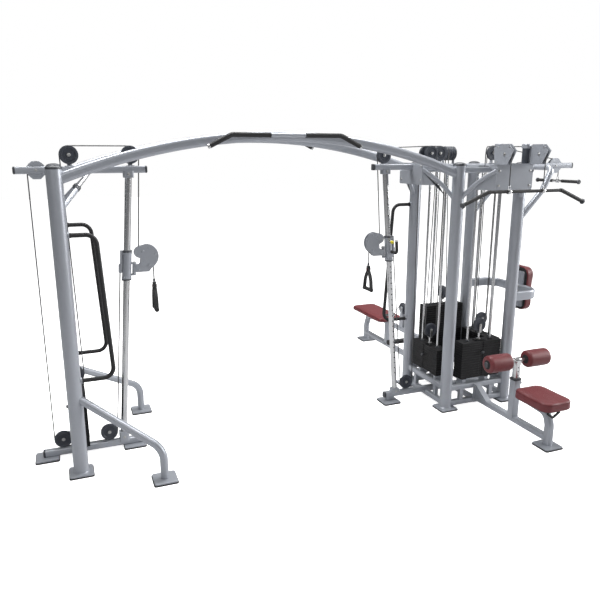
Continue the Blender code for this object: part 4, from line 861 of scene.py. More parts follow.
def show_core_base_frame():
    z = CORE_BASE_Z
    parts = core_ring(0.05) + core_ring(0.20)
    parts += made("paint", rail((CORE_BASE_INNER_X + 0.004, 0, z), (CORE_X, 0, z), BEAM))
    parts += made("paint", rail((0, -POST_Y, 0.05), (0, POST_Y, 0.05), 0.048))
    parts += end_cap(CORE_BASE_INNER_X + 0.003, z, -1)
    for place in (-0.17, 0.17):
        for side in (-1, 1):
            parts += made("paint", block(place, side * POST_Y, 0.02, 0.018, 0.05, 0.20))
            parts += made("paint", block(side * CORE_X, place, 0.018, 0.02, 0.05, 0.20))
    for quarter in range(4):
        for x in (-0.13, 0.13):
            rest = made("paint", block(x, -0.285, 0.02, 0.045, 0.19, 0.258))
            rest += made("rubber", block(x, -0.285, 0.022, 0.047, 0.257, STACK_BASE_Z - 0.0003))
            parts += turned(rest, quarter)
    parts += foot(-0.75, 0) + made("paint", block(-0.74, 0, 0.04, 0.02, 0.012, z))
    parts += column_socket("core", z, 0.135, 0.12) + standing_pulley(*CORE_LOW_PULLEY, z + BEAM / 2)
    show_steel("core_base_frame", parts)


# ---------------------------------------------------------------- weight stacks
def rod_spots(station):
    x, y, axis = STACKS[station][:3]
    for side in (-1, 1):
        step = side * ROD_SPACING / 2
        yield (x + step, y) if axis == 0 else (x, y + step)


def plates(station, low, high):
    """Separate iron plates from low to high, each with a grooved face and, in the groove, a dark disc of
    painted shade where the selector hole is.
    """
    x, y, axis = STACKS[station][:3]
    count = round((high - low) / PLATE_PITCH)
    pitch = (high - low) / count
    long, deep = STACK_LENGTH / 2, STACK_DEPTH / 2
    half = [
        (-long, -deep), (-0.020, -deep), (-0.016, -deep + 0.004), (0.016, -deep + 0.004), (0.020, -deep),
        (long, -deep),
    ]
    outline = half + [(-a, -b) for a, b in half]
    outline = [(x + a, y + b) if axis == 0 else (x + b, y + a) for a, b in outline]
    parts = []
    for i in range(count):
        parts += made("iron", slab(outline, 2, low + pitch * i + 0.0004, low + pitch * (i + 1) - 0.0012))
        for side in (-1, 1):
            out = Vector((0, side, 0)) if axis == 0 else Vector((side, 0, 0))
            spot = Vector((x, y, low + pitch * (i + 0.5))) + out * (deep - 0.0045)
            # painted shade: a dark rubber disc in the groove stands in for the shade inside the selector hole
            parts += made("rubber", disc(0.0058, -0.002, 0.001, spot, out, 16))
    return parts


def show_stack(station):
    low, top = STACKS[station][3:5]
    parts = plates(station, low, top - HEAD_HEIGHT - 0.0003)
    ring = [(ROD_RADIUS, 0.014), (0.019, 0.012), (0.019, 0), (ROD_RADIUS, 0)]
    for x, y in rod_spots(station):
        parts += made("chrome", rod((x, y, low + 0.01), (x, y, ROD_TOP_Z), ROD_RADIUS))
        parts += made("zinc", lathe(ring, (x, y, ROD_TOP_Z - 0.016), Z, 28))
    show_node(f"{station}_weight_stack", "frame", parts, 0.0012)


def show_lift_head(station):
    x, y, axis, _, top, pulley_z = STACKS[station]
    turn = Vector(X) if station == "row" else Vector(Y)
    size = (0.10, 0.07) if axis == 0 else (0.07, 0.10)
    inner = ROD_RADIUS + 0.001
    bush = [(inner, 0.012), (0.018, 0.011), (0.0195, 0.008), (0.0195, 0), (inner, 0)]
    nut = [(0, 0.012), (0.016, 0.012), (0.018, 0.010), (0.018, 0), (0, 0)]
    parts = plates(station, top - HEAD_HEIGHT, top - 0.006)
    parts += made("iron", slab(rounded(*size, 0.01, 4, (x, y)), 2, top - 0.007, top))
    parts += made("cap", *[lathe(bush, (*spot, top - 0.007), Z, 28) for spot in rod_spots(station)])
    parts += made("chrome", rod((x, y, top - 0.01), (x, y, pulley_z - 0.074), 0.010))
    parts += made("zinc", lathe(nut, (x, y, top), Z, 6))
    hub = Vector((x, y, pulley_z))
    parts += yoke(hub, turn) + pulley(hub, turn) + selector_pin(station)
    show_node(f"{station}_lift_head", f"{station}_lift", parts, 0.0012)


def yoke(centre, axis):
    """The U plate that carries a floating pulley."""
    spread = axis * 0.019
    low, high = centre - Vector((0, 0, 0.074)), centre + Vector((0, 0, 0.012))
    path = bent([high - spread, low - spread, low + spread, high + spread], 0.006, 4)
    strap = sweep(path, rounded(0.026, 0.005, 0.002, 2), axis.cross(Vector(Z)))
    parts = made("zinc", strap, rod(centre - axis * 0.023, centre + axis * 0.023, 0.006, 20))
    for side in (-1, 1):
        parts += bolt(centre + axis * side * 0.0215, axis * side, 0.009, 0.006)
    return parts


def selector_pin(station):
    """The pin under the lifted plates, on the stack's outward face."""
    x, y, axis, _, top, _ = STACKS[station]
    out = Vector((0, math.copysign(1, y), 0)) if axis == 0 else Vector((math.copysign(1, x), 0, 0))
    face = Vector((x, y, top - HEAD_HEIGHT + 0.012)) + out * (STACK_DEPTH / 2 - 0.004)
    knob = [
        (0, 0.036), (0.010, 0.035), (0.0135, 0.030), (0.0135, 0.018), (0.009, 0.010), (0.006, 0.008),
        (0, 0.008),
    ]
    shank = rod(face, face + out * 0.02, 0.0045, 16)
    return made("chrome", shank) + made("cap", lathe(knob, face, out, 24))


# ---------------------------------------------------------------- cable columns
def lean_place(which):
    """Carries shapes made round X = 0, pointing +X, onto a leaning column."""
    foot_x, lean, out = COLUMNS[which]
    shear = Matrix.Identity(4)
    shear[0][2] = lean
    shear[0][3] = foot_x - lean * COLUMN_LOW_Z
    return shear @ Matrix.Diagonal((out, out, 1, 1))


def show_on_column(node, body, which, parts, bevel):
    place = lean_place(which)
    show_node(node, body, [(moved(shape, place), finish) for shape, finish in parts], bevel)


def column_x(which, z, reach=0.0):
    foot_x, lean, out = COLUMNS[which]
    return foot_x + lean * (z - COLUMN_LOW_Z) + out * reach


def show_column(which):
    """A chrome tube with a row of locking holes down the side the pin works on; each hole is a shallow drill
    whose dark rubber floor is painted shade for the dark inside of the hollow tube.
    """
    side = Vector((0, COLUMNS[which][2], 0))
    drills, painted_shade_floors = [], []
    for i in range(HOLE_COUNT):
        z = HOLE_LOW_Z + HOLE_PITCH * i
        spot = Vector((column_x(which, z), 0, z)) + side * COLUMN_RADIUS
        drills.append(disc(0.0062, -0.0035, 0.003, spot, side, 16))
        # painted shade: a dark rubber disc at the bottom of each drill stands in for the shade inside the
        # hollow column
        painted_shade_floors.append(disc(0.0062, -0.001, 0, spot - side * 0.003, side, 16))
    low, high = [(column_x(which, z), 0, z) for z in (0.112, 2.203)]
    tube = cut(rod(low, high, COLUMN_RADIUS, 48), [joined(drills)])
    parts = made("chrome", tube) + made("rubber", *painted_shade_floors)
    show_node(f"{which}_cable_column", "frame", parts, 0)


def carriage_sleeve():
    """The sleeve round the column, its end bushes, hinge ears and back plate with the cable lug."""
    r = 0.037
    sleeve = [
        (r - 0.003, 1.615), (r, 1.612), (r, 1.598), (r - 0.0025, 1.595), (r - 0.0025, 1.42), (r, 1.417),
        (r, 1.403), (r - 0.003, 1.400), (0.0262, 1.400), (0.0262, 1.615),
    ]
    bush = [(0.0255, 0.009), (0.035, 0.008), (0.037, 0.005), (0.037, -0.008), (0.0255, -0.009)]
    ear = rounded(HINGE - 0.014, 0.032, 0.014, 6, ((HINGE + 0.046) / 2, 0))
    plate = rounded(0.016, 0.150, 0.005, 4, (-0.043, 1.550))
    lug = rounded(0.026, 0.070, 0.008, 4, (-0.048, 1.486))
    parts = made("paint", lathe(sleeve, (0, 0, 0), Z))
    parts += made("cap", *[lathe(bush, (0, 0, z), Z) for z in (1.399, 1.616)])
    parts += made("paint", *[slab(ear, 2, z - 0.006, z + 0.006) for z in (1.432, 1.522)])
    parts += made("paint", slab(plate, 1, -0.019, 0.019), slab(lug, 1, -0.012, 0.012))
    return parts + bolt((HINGE, 0, 1.528), Z, 0.009, 0.006)


def show_carriage(which):
    """The sliding sleeve with its pin boss and L-shaped pull handle."""
    y, z = 0.15, 1.485
    steel = bent([(0, 0.03, z), (0, y, z), (0, y, 1.600)], 0.032, 8)
    foam = bent([(0, 0.055, z), (0, y, z), (0, y, 1.588)], 0.032, 8)
    boss = [(0.0066, 0.052), (0.012, 0.052), (0.0135, 0.049), (0.0135, 0.03), (0.0066, 0.03)]
    flange = [(0, 0.040), (0.030, 0.040), (0.036, 0.037), (0.036, 0.030), (0, 0.030)]
    parts = carriage_sleeve()
    parts += made("chrome", sweep(steel, circle(0.0095), X), rod((0, y, 1.588), (0, y, 1.603), 0.0125))
    parts += made("grip", sweep(foam, circle(0.0135), X))
    parts += made("zinc", lathe(boss, (0, 0, PIN_Z), Y, 6))
    parts += made("paint", lathe(flange, (0, 0, 1.462), Y, 40))
    show_on_column(f"{which}_carriage", f"{which}_carriage_body", which, parts, 0.001)


def show_pop_pin(which):
    knob = [
        (0, 0.030), (0.008, 0.0295), (0.0125, 0.027), (0.015, 0.022), (0.015, 0.006), (0.0125, 0.002),
        (0.009, 0), (0, 0),
    ]
    parts = made("chrome", rod((0, 0.0382, PIN_Z), (0, 0.062, PIN_Z), 0.0052, 20))
    parts += made("yellow", lathe(knob, (0, 0.060, PIN_Z), Y, 32))
    show_on_column(f"{which}_pop_pin", f"{which}_pin_body", which, parts, 0)


def guard_outline():
    """The comma-shaped guard, with smooth lobes."""
    reach, z = ARM_REACH, ARM_Z
    points = [(HINGE + 0.014, z - 0.115), (reach + 0.030, z - 0.115)]
    lobes = [(reach, z, 0.100, range(-60, 91, 6)), (reach - 0.045, z + 0.042, 0.044, range(105, 256, 10))]
    for x, y, radius, turns in lobes:
        points += [(x + radius * math.cos(a), y + radius * math.sin(a)) for a in map(math.radians, turns)]
    points += [(reach - 0.038, z - 0.012), (reach - 0.040, z - 0.046), (reach - 0.050, z - 0.055)]
    return points + [(HINGE + 0.014, z - 0.057)]


def swivel_pulleys():
    """The two little pulleys between the guard plates, (reach, z, wrap radius)."""
    return [(ARM_REACH + 0.027, ARM_Z - 0.065, 0.035), (ARM_REACH - 0.024, ARM_Z + 0.047, 0.030)]


def show_swivel_arm(which):
    screws = [
        (ARM_REACH + 0.075, ARM_Z + 0.02), (ARM_REACH + 0.02, ARM_Z + 0.075), (HINGE + 0.035, ARM_Z - 0.098)
    ]
    parts = []
    for low, out in ((-0.018, -1), (0.014, 1)):
        parts += made("paint", slab(guard_outline(), 1, low, low + 0.004))
        for x, z, _ in swivel_pulleys():
            parts += painted(bolt((x, out * 0.018, z), (0, out, 0), 0.010, 0.006))
        for x, z in screws:
            parts += painted(bolt((x, out * 0.018, z), (0, out, 0), 0.006, 0.004))
    barrel = [
        (0.0066, 1.5125), (0.013, 1.5125), (0.014, 1.5115), (0.014, 1.4425), (0.013, 1.4415), (0.0066, 1.4415)
    ]
    parts += made("paint", lathe(barrel, (HINGE, 0, 0), Z, 36))
    parts += made("paint", block(HINGE + 0.027, 0, 0.023, 0.0155, 1.452, 1.505))
    parts += made("zinc", rod((HINGE, 0, 1.43), (HINGE, 0, 1.524), 0.0055, 20))
    for x, z, wrap in swivel_pulleys():
        parts += small_pulley((x, 0, z), Y, wrap, 0.009)
        parts += made("zinc", rod((x, -0.0185, z), (x, 0.0185, z), 0.0062, 20))
    show_on_column(f"{which}_swivel_arm", f"{which}_arm_body", which, parts, 0.001)


def handle_top(which):
    reach, z, wrap = swivel_pulleys()[0]
    return Vector((column_x(which, z, reach + wrap), 0, 1.385))


def show_handle(which):
    """A stirrup: cable stop, ring, webbing round both ends of a foam grip."""
    loop = [(0.066, -0.238), (0.053, -0.15), (0.032, -0.105), (0.007, -0.072)]
    strap = bent([(0, y, z) for y, z in loop] + [(0, -y, z) for y, z in loop[::-1]], 0.012, 5)
    hook = bent([(0, -0.014, -0.016), (0, -0.014, -0.036), (0, 0.014, -0.036), (0, 0.014, -0.016)], 0.007, 5)
    stop = [(0, 0.004), (0.006, 0.002), (0.0095, -0.004), (0.0095, -0.014), (0.006, -0.019), (0, -0.020)]
    grip = [(0, 0.078), (0.014, 0.0775), (0.0178, 0.074), (0.0178, 0.060), (0.0170, 0.058)]
    parts = made(
        "webbing", sweep(strap, rounded(0.034, 0.0095, 0.003, 3), X),
        sweep([(0, 0, -0.024), (0, 0, -0.084)], rounded(0.040, 0.026, 0.007, 4)),
    )
    parts += made("chrome", sweep(hook, circle(0.0028, 14), X))
    parts += made("chrome", rod((0, -0.012, -0.016), (0, 0.012, -0.016), 0.0028, 14))
    parts += made("cap", lathe(stop, (0, 0, 0), Z, 28))
    parts += made("grip", lathe(mirrored(grip), (0, 0, -0.238), Y, 36))
    parts += made(
        "stitch", *[block(0, 0, 0.0205, 0.0135, z - 0.0006, z + 0.0006) for z in (-0.048, -0.056, -0.064)]
    )
    place = Matrix.Translation(handle_top(which))
    parts = [(moved(shape, place), finish) for shape, finish in parts]
    show_node(f"{which}_handle", f"{which}_handle_body", parts, 0)


def show_end_pulleys():
    for group, places in (("top", END_TOP), ("low", END_LOW)):
        for where, (x, z) in places.items():
            node = f"end_{group}_pulley_{where}"
            show_node(node, f"{node}_body", pulley((x, 0, z), Y), 0)


# ---------------------------------------------------------------- upholstery
def pad_outline(low, high, axis, corner, inset, steps):
    """The outline of a pad seen along its crown axis, moved in by inset."""
    size, middle = high - low, (low + high) / 2
    a, b = [k for k in range(3) if k != axis]
    return rounded(size[a] - 2 * inset, size[b] - 2 * inset, corner, steps, (middle[a], middle[b]))


def show_pad(node, low, high, corner, axis, slack):
    """A stitched cushion on a board. Cloth pressure swells it from a slightly smaller block."""
    low, high = Vector(low), Vector(high)
    base = slab(pad_outline(low, high, axis, corner, 0.012, 8), axis, low[axis], low[axis] + PAD_BOARD)
    show(f"{node}_board", "frame", made("board", base), (), 0)
    soft = cushion(node, low, high, corner, axis, slack)
    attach(soft, "frame")
    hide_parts(node)
    show_seam(node, low, high, corner, axis)


def cushion(node, low, high, corner, axis, slack):
    floor, top = low[axis] + PAD_BOARD, high[axis]
    rings = []
    for level, inset in (
        (floor, 0.006), (floor + 0.004, 0.0035), (top - 0.020, 0.0035), (top - 0.012, 0.005),
        (top - 0.007, 0.011),
    ):
        flat = pad_outline(low, high, axis, corner - inset * 0.6, inset, 10)
        rings.append([lifted(point, axis, level) for point in flat])
    mesh = to_mesh(f"{node}_cover", skin(rings))
    mesh.transform(Matrix.Translation(ORIGIN))
    obj = placed(f"{node}_cover", mesh)
    remesh = obj.modifiers.new("remesh", "REMESH")
    remesh.mode = "VOXEL"
    remesh.voxel_size = PAD_VOXEL
    bake(obj)
    inflate(obj, axis, floor, slack)
    finish_cushion(obj, axis, floor, top)
    obj.data.materials.clear()
    obj.data.materials.append(MATERIALS["vinyl"])
    return obj


def bake(obj):
    """Replace the mesh by what its modifiers make of it."""
    seen = obj.evaluated_get(bpy.context.evaluated_depsgraph_get())
    mesh = bpy.data.meshes.new_from_object(seen)
    obj.modifiers.clear()
    obj.data = mesh


def inflate(obj, axis, floor, slack):
    """Let cloth pressure swell the cover, held where it is stapled to the board."""
    start = [v.co.copy() for v in obj.data.vertices]
    held = obj.vertex_groups.new(name="held")
    fixed = [i for i, p in enumerate(start) if p[axis] < floor + ORIGIN[axis] + HELD_MARGIN]
    held.add(fixed, 1.0, "REPLACE")
    cloth = obj.modifiers.new("cloth", "CLOTH")
    for key, value in CLOTH.items():
        setattr(cloth.settings, key, value)
    cloth.settings.effector_weights.gravity = 0
    cloth.point_cache.frame_start = 1
    cloth.point_cache.frame_end = CLOTH_FRAMES
    scene = bpy.context.scene
    for frame in range(1, CLOTH_FRAMES + 1):
        scene.frame_set(frame)
    seen = obj.evaluated_get(bpy.context.evaluated_depsgraph_get())
    steps = [after.co - before for before, after in zip(start, seen.data.vertices)]
    obj.modifiers.clear()
    steps = [step.normalized() * min(step.length, slack) for step in steps]
    for vertex, before, step in zip(obj.data.vertices, start, evened(obj.data, steps, fixed)):
        vertex.co = before + Vector(step)
    scene.frame_set(1)


def evened(mesh, steps, fixed, rounds=60):
    """Average each vertex's step with its neighbours', so that foam, not slack cloth, swells."""
    steps = np.array(steps)
    edges = np.array([edge.vertices[:] for edge in mesh.edges])
    neighbours = np.bincount(edges.ravel(), minlength=len(steps))[:, None]
    for _ in range(rounds):
        total = np.zeros_like(steps)
        np.add.at(total, edges[:, 0], steps[edges[:, 1]])
        np.add.at(total, edges[:, 1], steps[edges[:, 0]])
        steps = (steps + total / neighbours) / 2
        steps[fixed] = 0
    return steps


def finish_cushion(obj, axis, floor, top):
    """Pinch the top seam, add small puckers along it, and smooth the result."""
    smooth(obj, 0.5, 3)
    bake(obj)
    flat = floor + ORIGIN[axis]
    seam = top + ORIGIN[axis] - 0.015
    centre = sum((v.co for v in obj.data.vertices), Vector()) / len(obj.data.vertices)
    for vertex in obj.data.vertices:
        p = vertex.co
        out = p - centre
        out[axis] = 0
        near = math.exp(-(((p[axis] - seam) / 0.0042) ** 2))
        pucker = 0.6 + 0.4 * math.sin(60 * (p.x + p.y + p.z)) * noise.noise(p * 14)
        vertex.co = p - out.normalized() * 0.0026 * near * pucker
        vertex.co[axis] += 0.0007 * noise.noise(p * 9)
        vertex.co[axis] = max(vertex.co[axis], flat)
    smooth(obj, 0.45, 2)
    detail = obj.modifiers.new("detail", "SUBSURF")
    detail.levels = 1
    detail.render_levels = 1
    bake(obj)
    obj.data.shade_smooth()


def smooth(obj, factor, rounds):
    step = obj.modifiers.new("smooth", "SMOOTH")
    step.factor = factor
    step.iterations = rounds


def show_seam(node, low, high, corner, axis):
    """The stitched piping that runs round a cushion's upper edge."""
    outline = pad_outline(low, high, axis, corner - 0.002, 0.004, 12)
    path = [lifted(point, axis, high[axis] - 0.0150) for point in outline]
    line = sweep([*path, path[0]], circle(0.0014, 8), (X, Y, Z)[axis])
    show(f"{node}_seam", "frame", made("stitch", line), (), 0)


def show_roller(node, side):
    """A foam roller in a sewn vinyl sleeve with moulded end discs."""
    middle = Vector((side * ROLLER_X, THIGH_POST_Y, THIGH_AXLE_Z))
    half = ROLLER_HALF
    rings = 44
    profile = [(0.0156, half - 0.002)]
    for i in range(rings + 1):
        t = 1 - 2 * i / rings
        edge = (max(0.0, abs(t) - 0.80) / 0.20) ** 3
        profile.append((ROLLER_RADIUS - 0.0018 * t * t - 0.016 * edge, half * t * 0.985))
    profile.append((0.0156, 0.002 - half))
    shape = lathe(profile, middle, X, 72)
    for vertex in shape.verts:
        away = vertex.co - middle
        reach = Vector((0, away.y, away.z))
        if reach.length > 0.03:
            fold = noise.noise(Vector((math.atan2(away.z, away.y) * 5, away.x * 16, side)))
            ends = (abs(away.x) / half) ** 4
            vertex.co += reach.normalized() * (0.0010 * fold * (0.35 + ends))
    obj = show(f"{node}_cover", f"{node}_body", made("vinyl", shape), [node], 0)
    cap = [(0.0156, 0.004), (0.034, 0.004), (0.041, 0.001), (0.043, -0.003), (0.0156, -0.003)]
    caps = [lathe(cap, middle + Vector((end * (half - 0.0035), 0, 0)), (end, 0, 0)) for end in (-1, 1)]
    show(f"{node}_ends", f"{node}_body", made("grip", *caps), (), 0)


# ---------------------------------------------------------------- pulldown station
def show_lat_seat_frame():
    y, foot_y = THIGH_POST_Y, LAT_FOOT_Y
    inner = -POST_Y - RAIL / 2 - 0.0003
    wedge = [(inner - 0.005, 0.055), (-0.56, 0.055), (-0.56, 0.094), (inner - 0.005, 0.215)]
    curve = bent([(0, -1.06, 0.308), (0, -1.265, 0.290), (0, foot_y, 0.19), (0, foot_y, 0.015)], 0.09, 12)
    seat = rounded(0.09, 0.26, 0.01, 4, (0, -1.17))
    parts = made(
        "paint",
        rail((0, inner, 0.075), (0, foot_y + 0.02, 0.075), 0.06, 0.05, 0.01),
        slab(rounded(0.09, 0.195, 0.008, 3, (0, 0.1275)), 1, inner - 0.010, inner),
        slab(wedge, 0, -0.0285, 0.0285),
        rail((0, y, 0.08), (0, y, 0.445), 0.07, radius=0.01),
        slab(seat, 2, LAT_PAD_Z[0] - 0.008, LAT_PAD_Z[0] - 0.0003),
        sweep(curve, rounded(0.06, 0.07, 0.022, 6), X),
    )
    lever = bent([(-0.11, -1.38, 0.340), (-0.065, -1.39, 0.305), (0.01, -1.38, 0.340)], 0.012, 5)
    knob = [(0, 0.030), (0.010, 0.029), (0.014, 0.024), (0.014, 0.008), (0.008, 0.0), (0, 0.0)]
    parts += foot(0, foot_y) + made("grip", sweep(lever, circle(0.010, 16)))
    parts += made(
        "cap", rail((0, y, 0.432), (0, y, 0.452), 0.075, radius=0.012), lathe(knob, (0.035, y, 0.40), X, 28)
    )
    for z in (0.06, 0.19):
        for x in (-0.034, 0.034):
            parts += bolt((x, inner - 0.010, z), (0, -1, 0), 0.007, 0.005)
    show_steel("lat_seat_frame", parts)


def show_thigh_post():
    y, z = THIGH_POST_Y, THIGH_AXLE_Z
    hub = [(0, 0.034), (0.026, 0.034), (0.027, 0.032)]
    stop = [(0, 0.006), (0.021, 0.005), (0.024, 0.001), (0.024, -0.003), (0, -0.003)]
    parts = made(
        "chrome",
        rail((0, y, 0.1303), (0, y, z), 0.05, radius=0.006),
        rod((-0.330, y, z), (0.330, y, z), 0.0145),
        lathe(mirrored(hub), (0, y, z), X),
    )
    parts += made("cap", *[lathe(stop, (side * 0.327, y, z), (side, 0, 0), 36) for side in (-1, 1)])
    # painted shade: three dark rubber discs on the post's front stand in for the shade inside its adjustment
    # holes
    for height in (0.48, 0.515, 0.55):
        parts += made("rubber", disc(0.006, -0.001, 0.0004, (0, y - 0.025, height), (0, -1, 0), 20))
    show_node("thigh_post", "thigh_post_body", parts)


def chain_link(spot, across, low, high):
    """A small oval link that stands over spot, between two heights above it."""
    spot, across = Vector(spot), Vector(across) * 0.009
    up = [Vector((0, 0, rise)) for rise in (low, low + 0.004, high - 0.005, high)]
    sides = [
        spot + across + up[1], spot + across + up[2], spot + up[3], spot - across + up[2],
        spot - across + up[1],
    ]
    path = bent([spot + up[0], *sides, spot + up[0]], 0.004, 3)
    return made("chrome", sweep(path, circle(0.0026, 12), X if across.y else Y))


def show_lat_bar():
    y, z = LAT_CABLE_Y, LAT_BAR_Z
    path = bent([(-0.62, y, z - 0.10), (-0.376, y, z), (0.376, y, z), (0.62, y, z - 0.10)], 0.06, 10)
    collar = [(0.0136, 0.015), (0.019, 0.015), (0.021, 0.012)]
    tip = [
        (0, 0.009), (0.019, 0.0085), (0.0235, 0.004), (0.0235, -0.006), (0.019, -0.011), (0.0135, -0.012),
        (0, -0.012),
    ]
    parts = made("grip", sweep(path, circle(0.0135)))
    for side in (-1, 1):
        x = side * LAT_CABLE_X
        low, high = sorted((side * 0.36, side * 0.615))
        parts += made("grip", sweep(along(path, low, high), circle(0.0165)))
        parts += made("chrome", lathe(mirrored(collar), (x, y, z), X, 36))
        parts += chain_link((x, y, z), X, 0.018, 0.048)
        way = Vector((side * 0.244, 0, -0.10)).normalized()
        parts += made("cap", lathe(tip, (side * 0.62, y, z - 0.10), way, 36))
    show_node("lat_bar", "lat_bar_body", parts, 0)


# ---------------------------------------------------------------- row station
def foot_bar():
    """The chrome cross bar with two foam rollers, on a post under the bench's rail."""
    y, z = 0.80, 0.315
    cap = [(0, 0.006), (0.025, 0.005), (0.029, 0.001), (0.029, -0.004), (0, -0.004)]
    parts = made("chrome", rod((-0.316, y, z), (0.316, y, z), 0.017))
    for side in (-1, 1):
        parts += made("grip", rod((side * 0.06, y, z), (side * 0.312, y, z), 0.028))
        parts += made("grip", lathe(cap, (side * 0.314, y, z), (side, 0, 0), 32))
    return parts + made("paint", block(0, y, 0.02, 0.01, 0.30, 0.36))


def row_mast():
    """Two plates on the bench's rail with a pulley between them."""
    outline = [
        (0.985, 0.36), (1.075, 0.36), (1.052, 0.600), (1.052, 0.635), (1.03, 0.648), (1.008, 0.635),
        (1.008, 0.600),
    ]
    parts = pulley((0, *ROW_PULLEY), X) + made("paint", block(0, 1.03, 0.021, 0.055, 0.36, 0.40))
    for side in (-1, 1):
        parts += made("paint", slab(outline, 0, *sorted((side * 0.016, side * 0.021))))
        parts += bolt((side * 0.021, *ROW_PULLEY), (side, 0, 0), 0.010, 0.006)
    return parts


def show_row_bench_frame():
    z, foot_y = 0.372, ROW_FOOT_Y
    inner = POST_Y + RAIL / 2 + 0.0003
    slots = [block(0, y, 0.007, 0.02, 0.33, 0.41) for y in (0.44, 0.966)]
    curve = bent([(0, 1.60, 0.356), (0, 1.84, 0.34), (0, foot_y, 0.20), (0, foot_y, 0.015)], 0.10, 12)
    parts = made(
        "paint",
        rail((0, inner, 0.10), (0, foot_y - 0.02, 0.10), 0.06, 0.05, 0.01),
        cut(rail((0, inner, z), (0, 1.78, z), 0.05, radius=0.01), slots),
        rail((0, 1.36, 0.10), (0, 1.36, z), 0.06, radius=0.01),
        slab(rounded(0.09, 0.362, 0.008, 3, (0, 0.211)), 1, inner, inner + 0.010),
        sweep(curve, rounded(0.06, 0.07, 0.022, 6), X),
    )
    parts += foot(0, foot_y) + foot_bar() + row_mast()
    for y, pulley_z in ROW_LOW:
        parts += pulley((0, y, pulley_z), X, PULLEY_RADIUS, 0.009)
        parts += made("paint", block(-0.0185, y, 0.0055, 0.015, 0.12, pulley_z + 0.015))
        parts += bolt((0.010, y, pulley_z), X, 0.009, 0.005)
    show_steel("row_bench_frame", parts)


def show_row_handle():
    y, z = ROW_PAD_Y[0] + 0.06, BENCH_TOP_Z + 0.016
    near, high = y - 0.10, z + 0.02
    parts = made("chrome", rod((-0.075, y, z), (0.075, y, z), 0.0100))
    parts += made("grip", rod((-0.062, y, z), (0.062, y, z), 0.0145))
    for side in (-1, 1):
        parts += made("chrome", rod((side * 0.072, y, z), (side * 0.02, near, high), 0.0065))
    parts += made("chrome", rod((-0.026, near, high), (0.026, near, high), 0.009))
    show_node("row_handle", "row_handle_body", parts, 0.001)


# ---------------------------------------------------------------- press-down station
def show_back_support():
    x, z = HOOP_X, 1.03
    corners = [(CORE_X, -POST_Y, z), (x, -POST_Y, z), (x, POST_Y, z), (CORE_X, POST_Y, z)]
    plate = rounded(0.20, 0.36, 0.02, 5, (0, 1.02))
    parts = made(
        "paint", sweep(bent(corners, 0.13, 16), rounded(0.035, 0.09, 0.0172, 7)),
        slab(plate, 0, x + 0.015, PAD_BACK_X - 0.0003),
    )
    for side in (-1, 1):
        for dz in (-0.025, 0.025):
            parts += bolt((x - 0.0175, side * 0.07, z + dz), (-1, 0, 0), 0.008, 0.006)
    show_steel("back_support_hoop", parts)


def show_triceps_bar():
    x, z = TRICEPS_HOUSED_X + TRICEPS_WRAP, TRICEPS_BAR_Z
    tip = [
        (0, 0.008), (0.018, 0.0075), (0.0215, 0.003), (0.0215, -0.009), (0.018, -0.013), (0.0125, -0.014),
        (0, -0.014),
    ]
    collar = [(0.0126, 0.014), (0.018, 0.014), (0.019, 0.012)]
    parts = made("chrome", rod((x, -0.275, z), (x, 0.275, z), 0.0125))
    parts += made("chrome", lathe(mirrored(collar), (x, 0, z), Y, 36))
    for side in (-1, 1):
        parts += made("grip", rod((x, side * 0.06, z), (x, side * 0.268, z), 0.0155))
        parts += made("cap", lathe(tip, (x, side * 0.275, z), (0, side, 0), 36))
    parts += chain_link((x, 0, z), Y, 0.016, 0.046)
    show_node("triceps_bar", "triceps_bar_body", parts, 0)


# ---------------------------------------------------------------- cables
def wrap_route(stops, step=math.radians(7)):
    """Taut route in a plane. A stop is (u, v, wrap radius, turn, w); turn +1 is anticlockwise.

    Returns the points at each stop: one where it has no radius, an arc where it has one.
    """
    headings = []
    for one, two in zip(stops, stops[1:]):
        du, dv = two[0] - one[0], two[1] - one[1]
        shift = two[3] * two[2] - one[3] * one[2]
        headings.append(math.atan2(dv, du) - math.asin(shift / math.hypot(du, dv)))
    route = []
    for i, (u, v, radius, turn, w) in enumerate(stops):
        if not radius:
            route.append([(u, v, w)])
            continue
        start = headings[i - 1]
        swing = turn * ((turn * (headings[i] - start)) % (2 * math.pi))
        count = max(1, math.ceil(abs(swing) / step))
        turns = [start + swing * k / count for k in range(count + 1)]
        route.append([(u + turn * radius * math.sin(a), v - turn * radius * math.cos(a), w) for a in turns])
    return route


SPAN_BODY = {"end_arm_body": "end_carriage_body", "core_arm_body": "core_carriage_body"}


def show_cable(node, arcs, bodies):
    """Show a cable as stretches that ride one body, and spans from one stretch to the next, baked in place on
    no body.
    """
    stretches = []
    for arc, body in zip(arcs, bodies):
        if stretches and stretches[-1][1] == body:
            stretches[-1][0].extend(arc)
        else:
            stretches.append([list(arc), body])
    for i, (points, body) in enumerate(stretches):
        if len(points) > 1:
            shape = sweep(points, circle(CABLE_RADIUS, 12), plane_side(points))
            show(f"{node}_part{i}", body, [(shape, "cable")], (), 0)
    for i, (one, two) in enumerate(zip(stretches, stretches[1:])):
        start, end = Vector(one[0][-1]), Vector(two[0][0])
        path = [start.lerp(end, k / 24) for k in range(25)]
        shape = sweep(path, circle(CABLE_RADIUS, 12), plane_side(path))
        obj = show(f"{node}_span{i}", None, [(shape, "cable")], (), 0)
        a, b = one[1], two[1]
        if "frame" in (a, b):
            a, b = SPAN_BODY.get(a, a), SPAN_BODY.get(b, b)
        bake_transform(obj)
    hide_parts(node)


def plane_side(points):
    """A direction that the path never runs along."""
    first, last = Vector(points[0]), Vector(points[1])
    return Y if abs(last.y - first.y) < 0.5 * (last - first).length else X


def column_stops(which):
    top = handle_top(which)
    out = COLUMNS[which][2]
    lower, upper = swivel_pulleys()
    stops = [(top.x, top.z - 0.002, 0, 0, 0)]
    for (reach, z, wrap), turn in ((lower, out), (upper, -out)):
        stops.append((column_x(which, z, reach), z, wrap, turn, 0))
    return stops


def anchor(which):
    return (column_x(which, 1.45, -0.050), 1.453, 0, 0, 0)


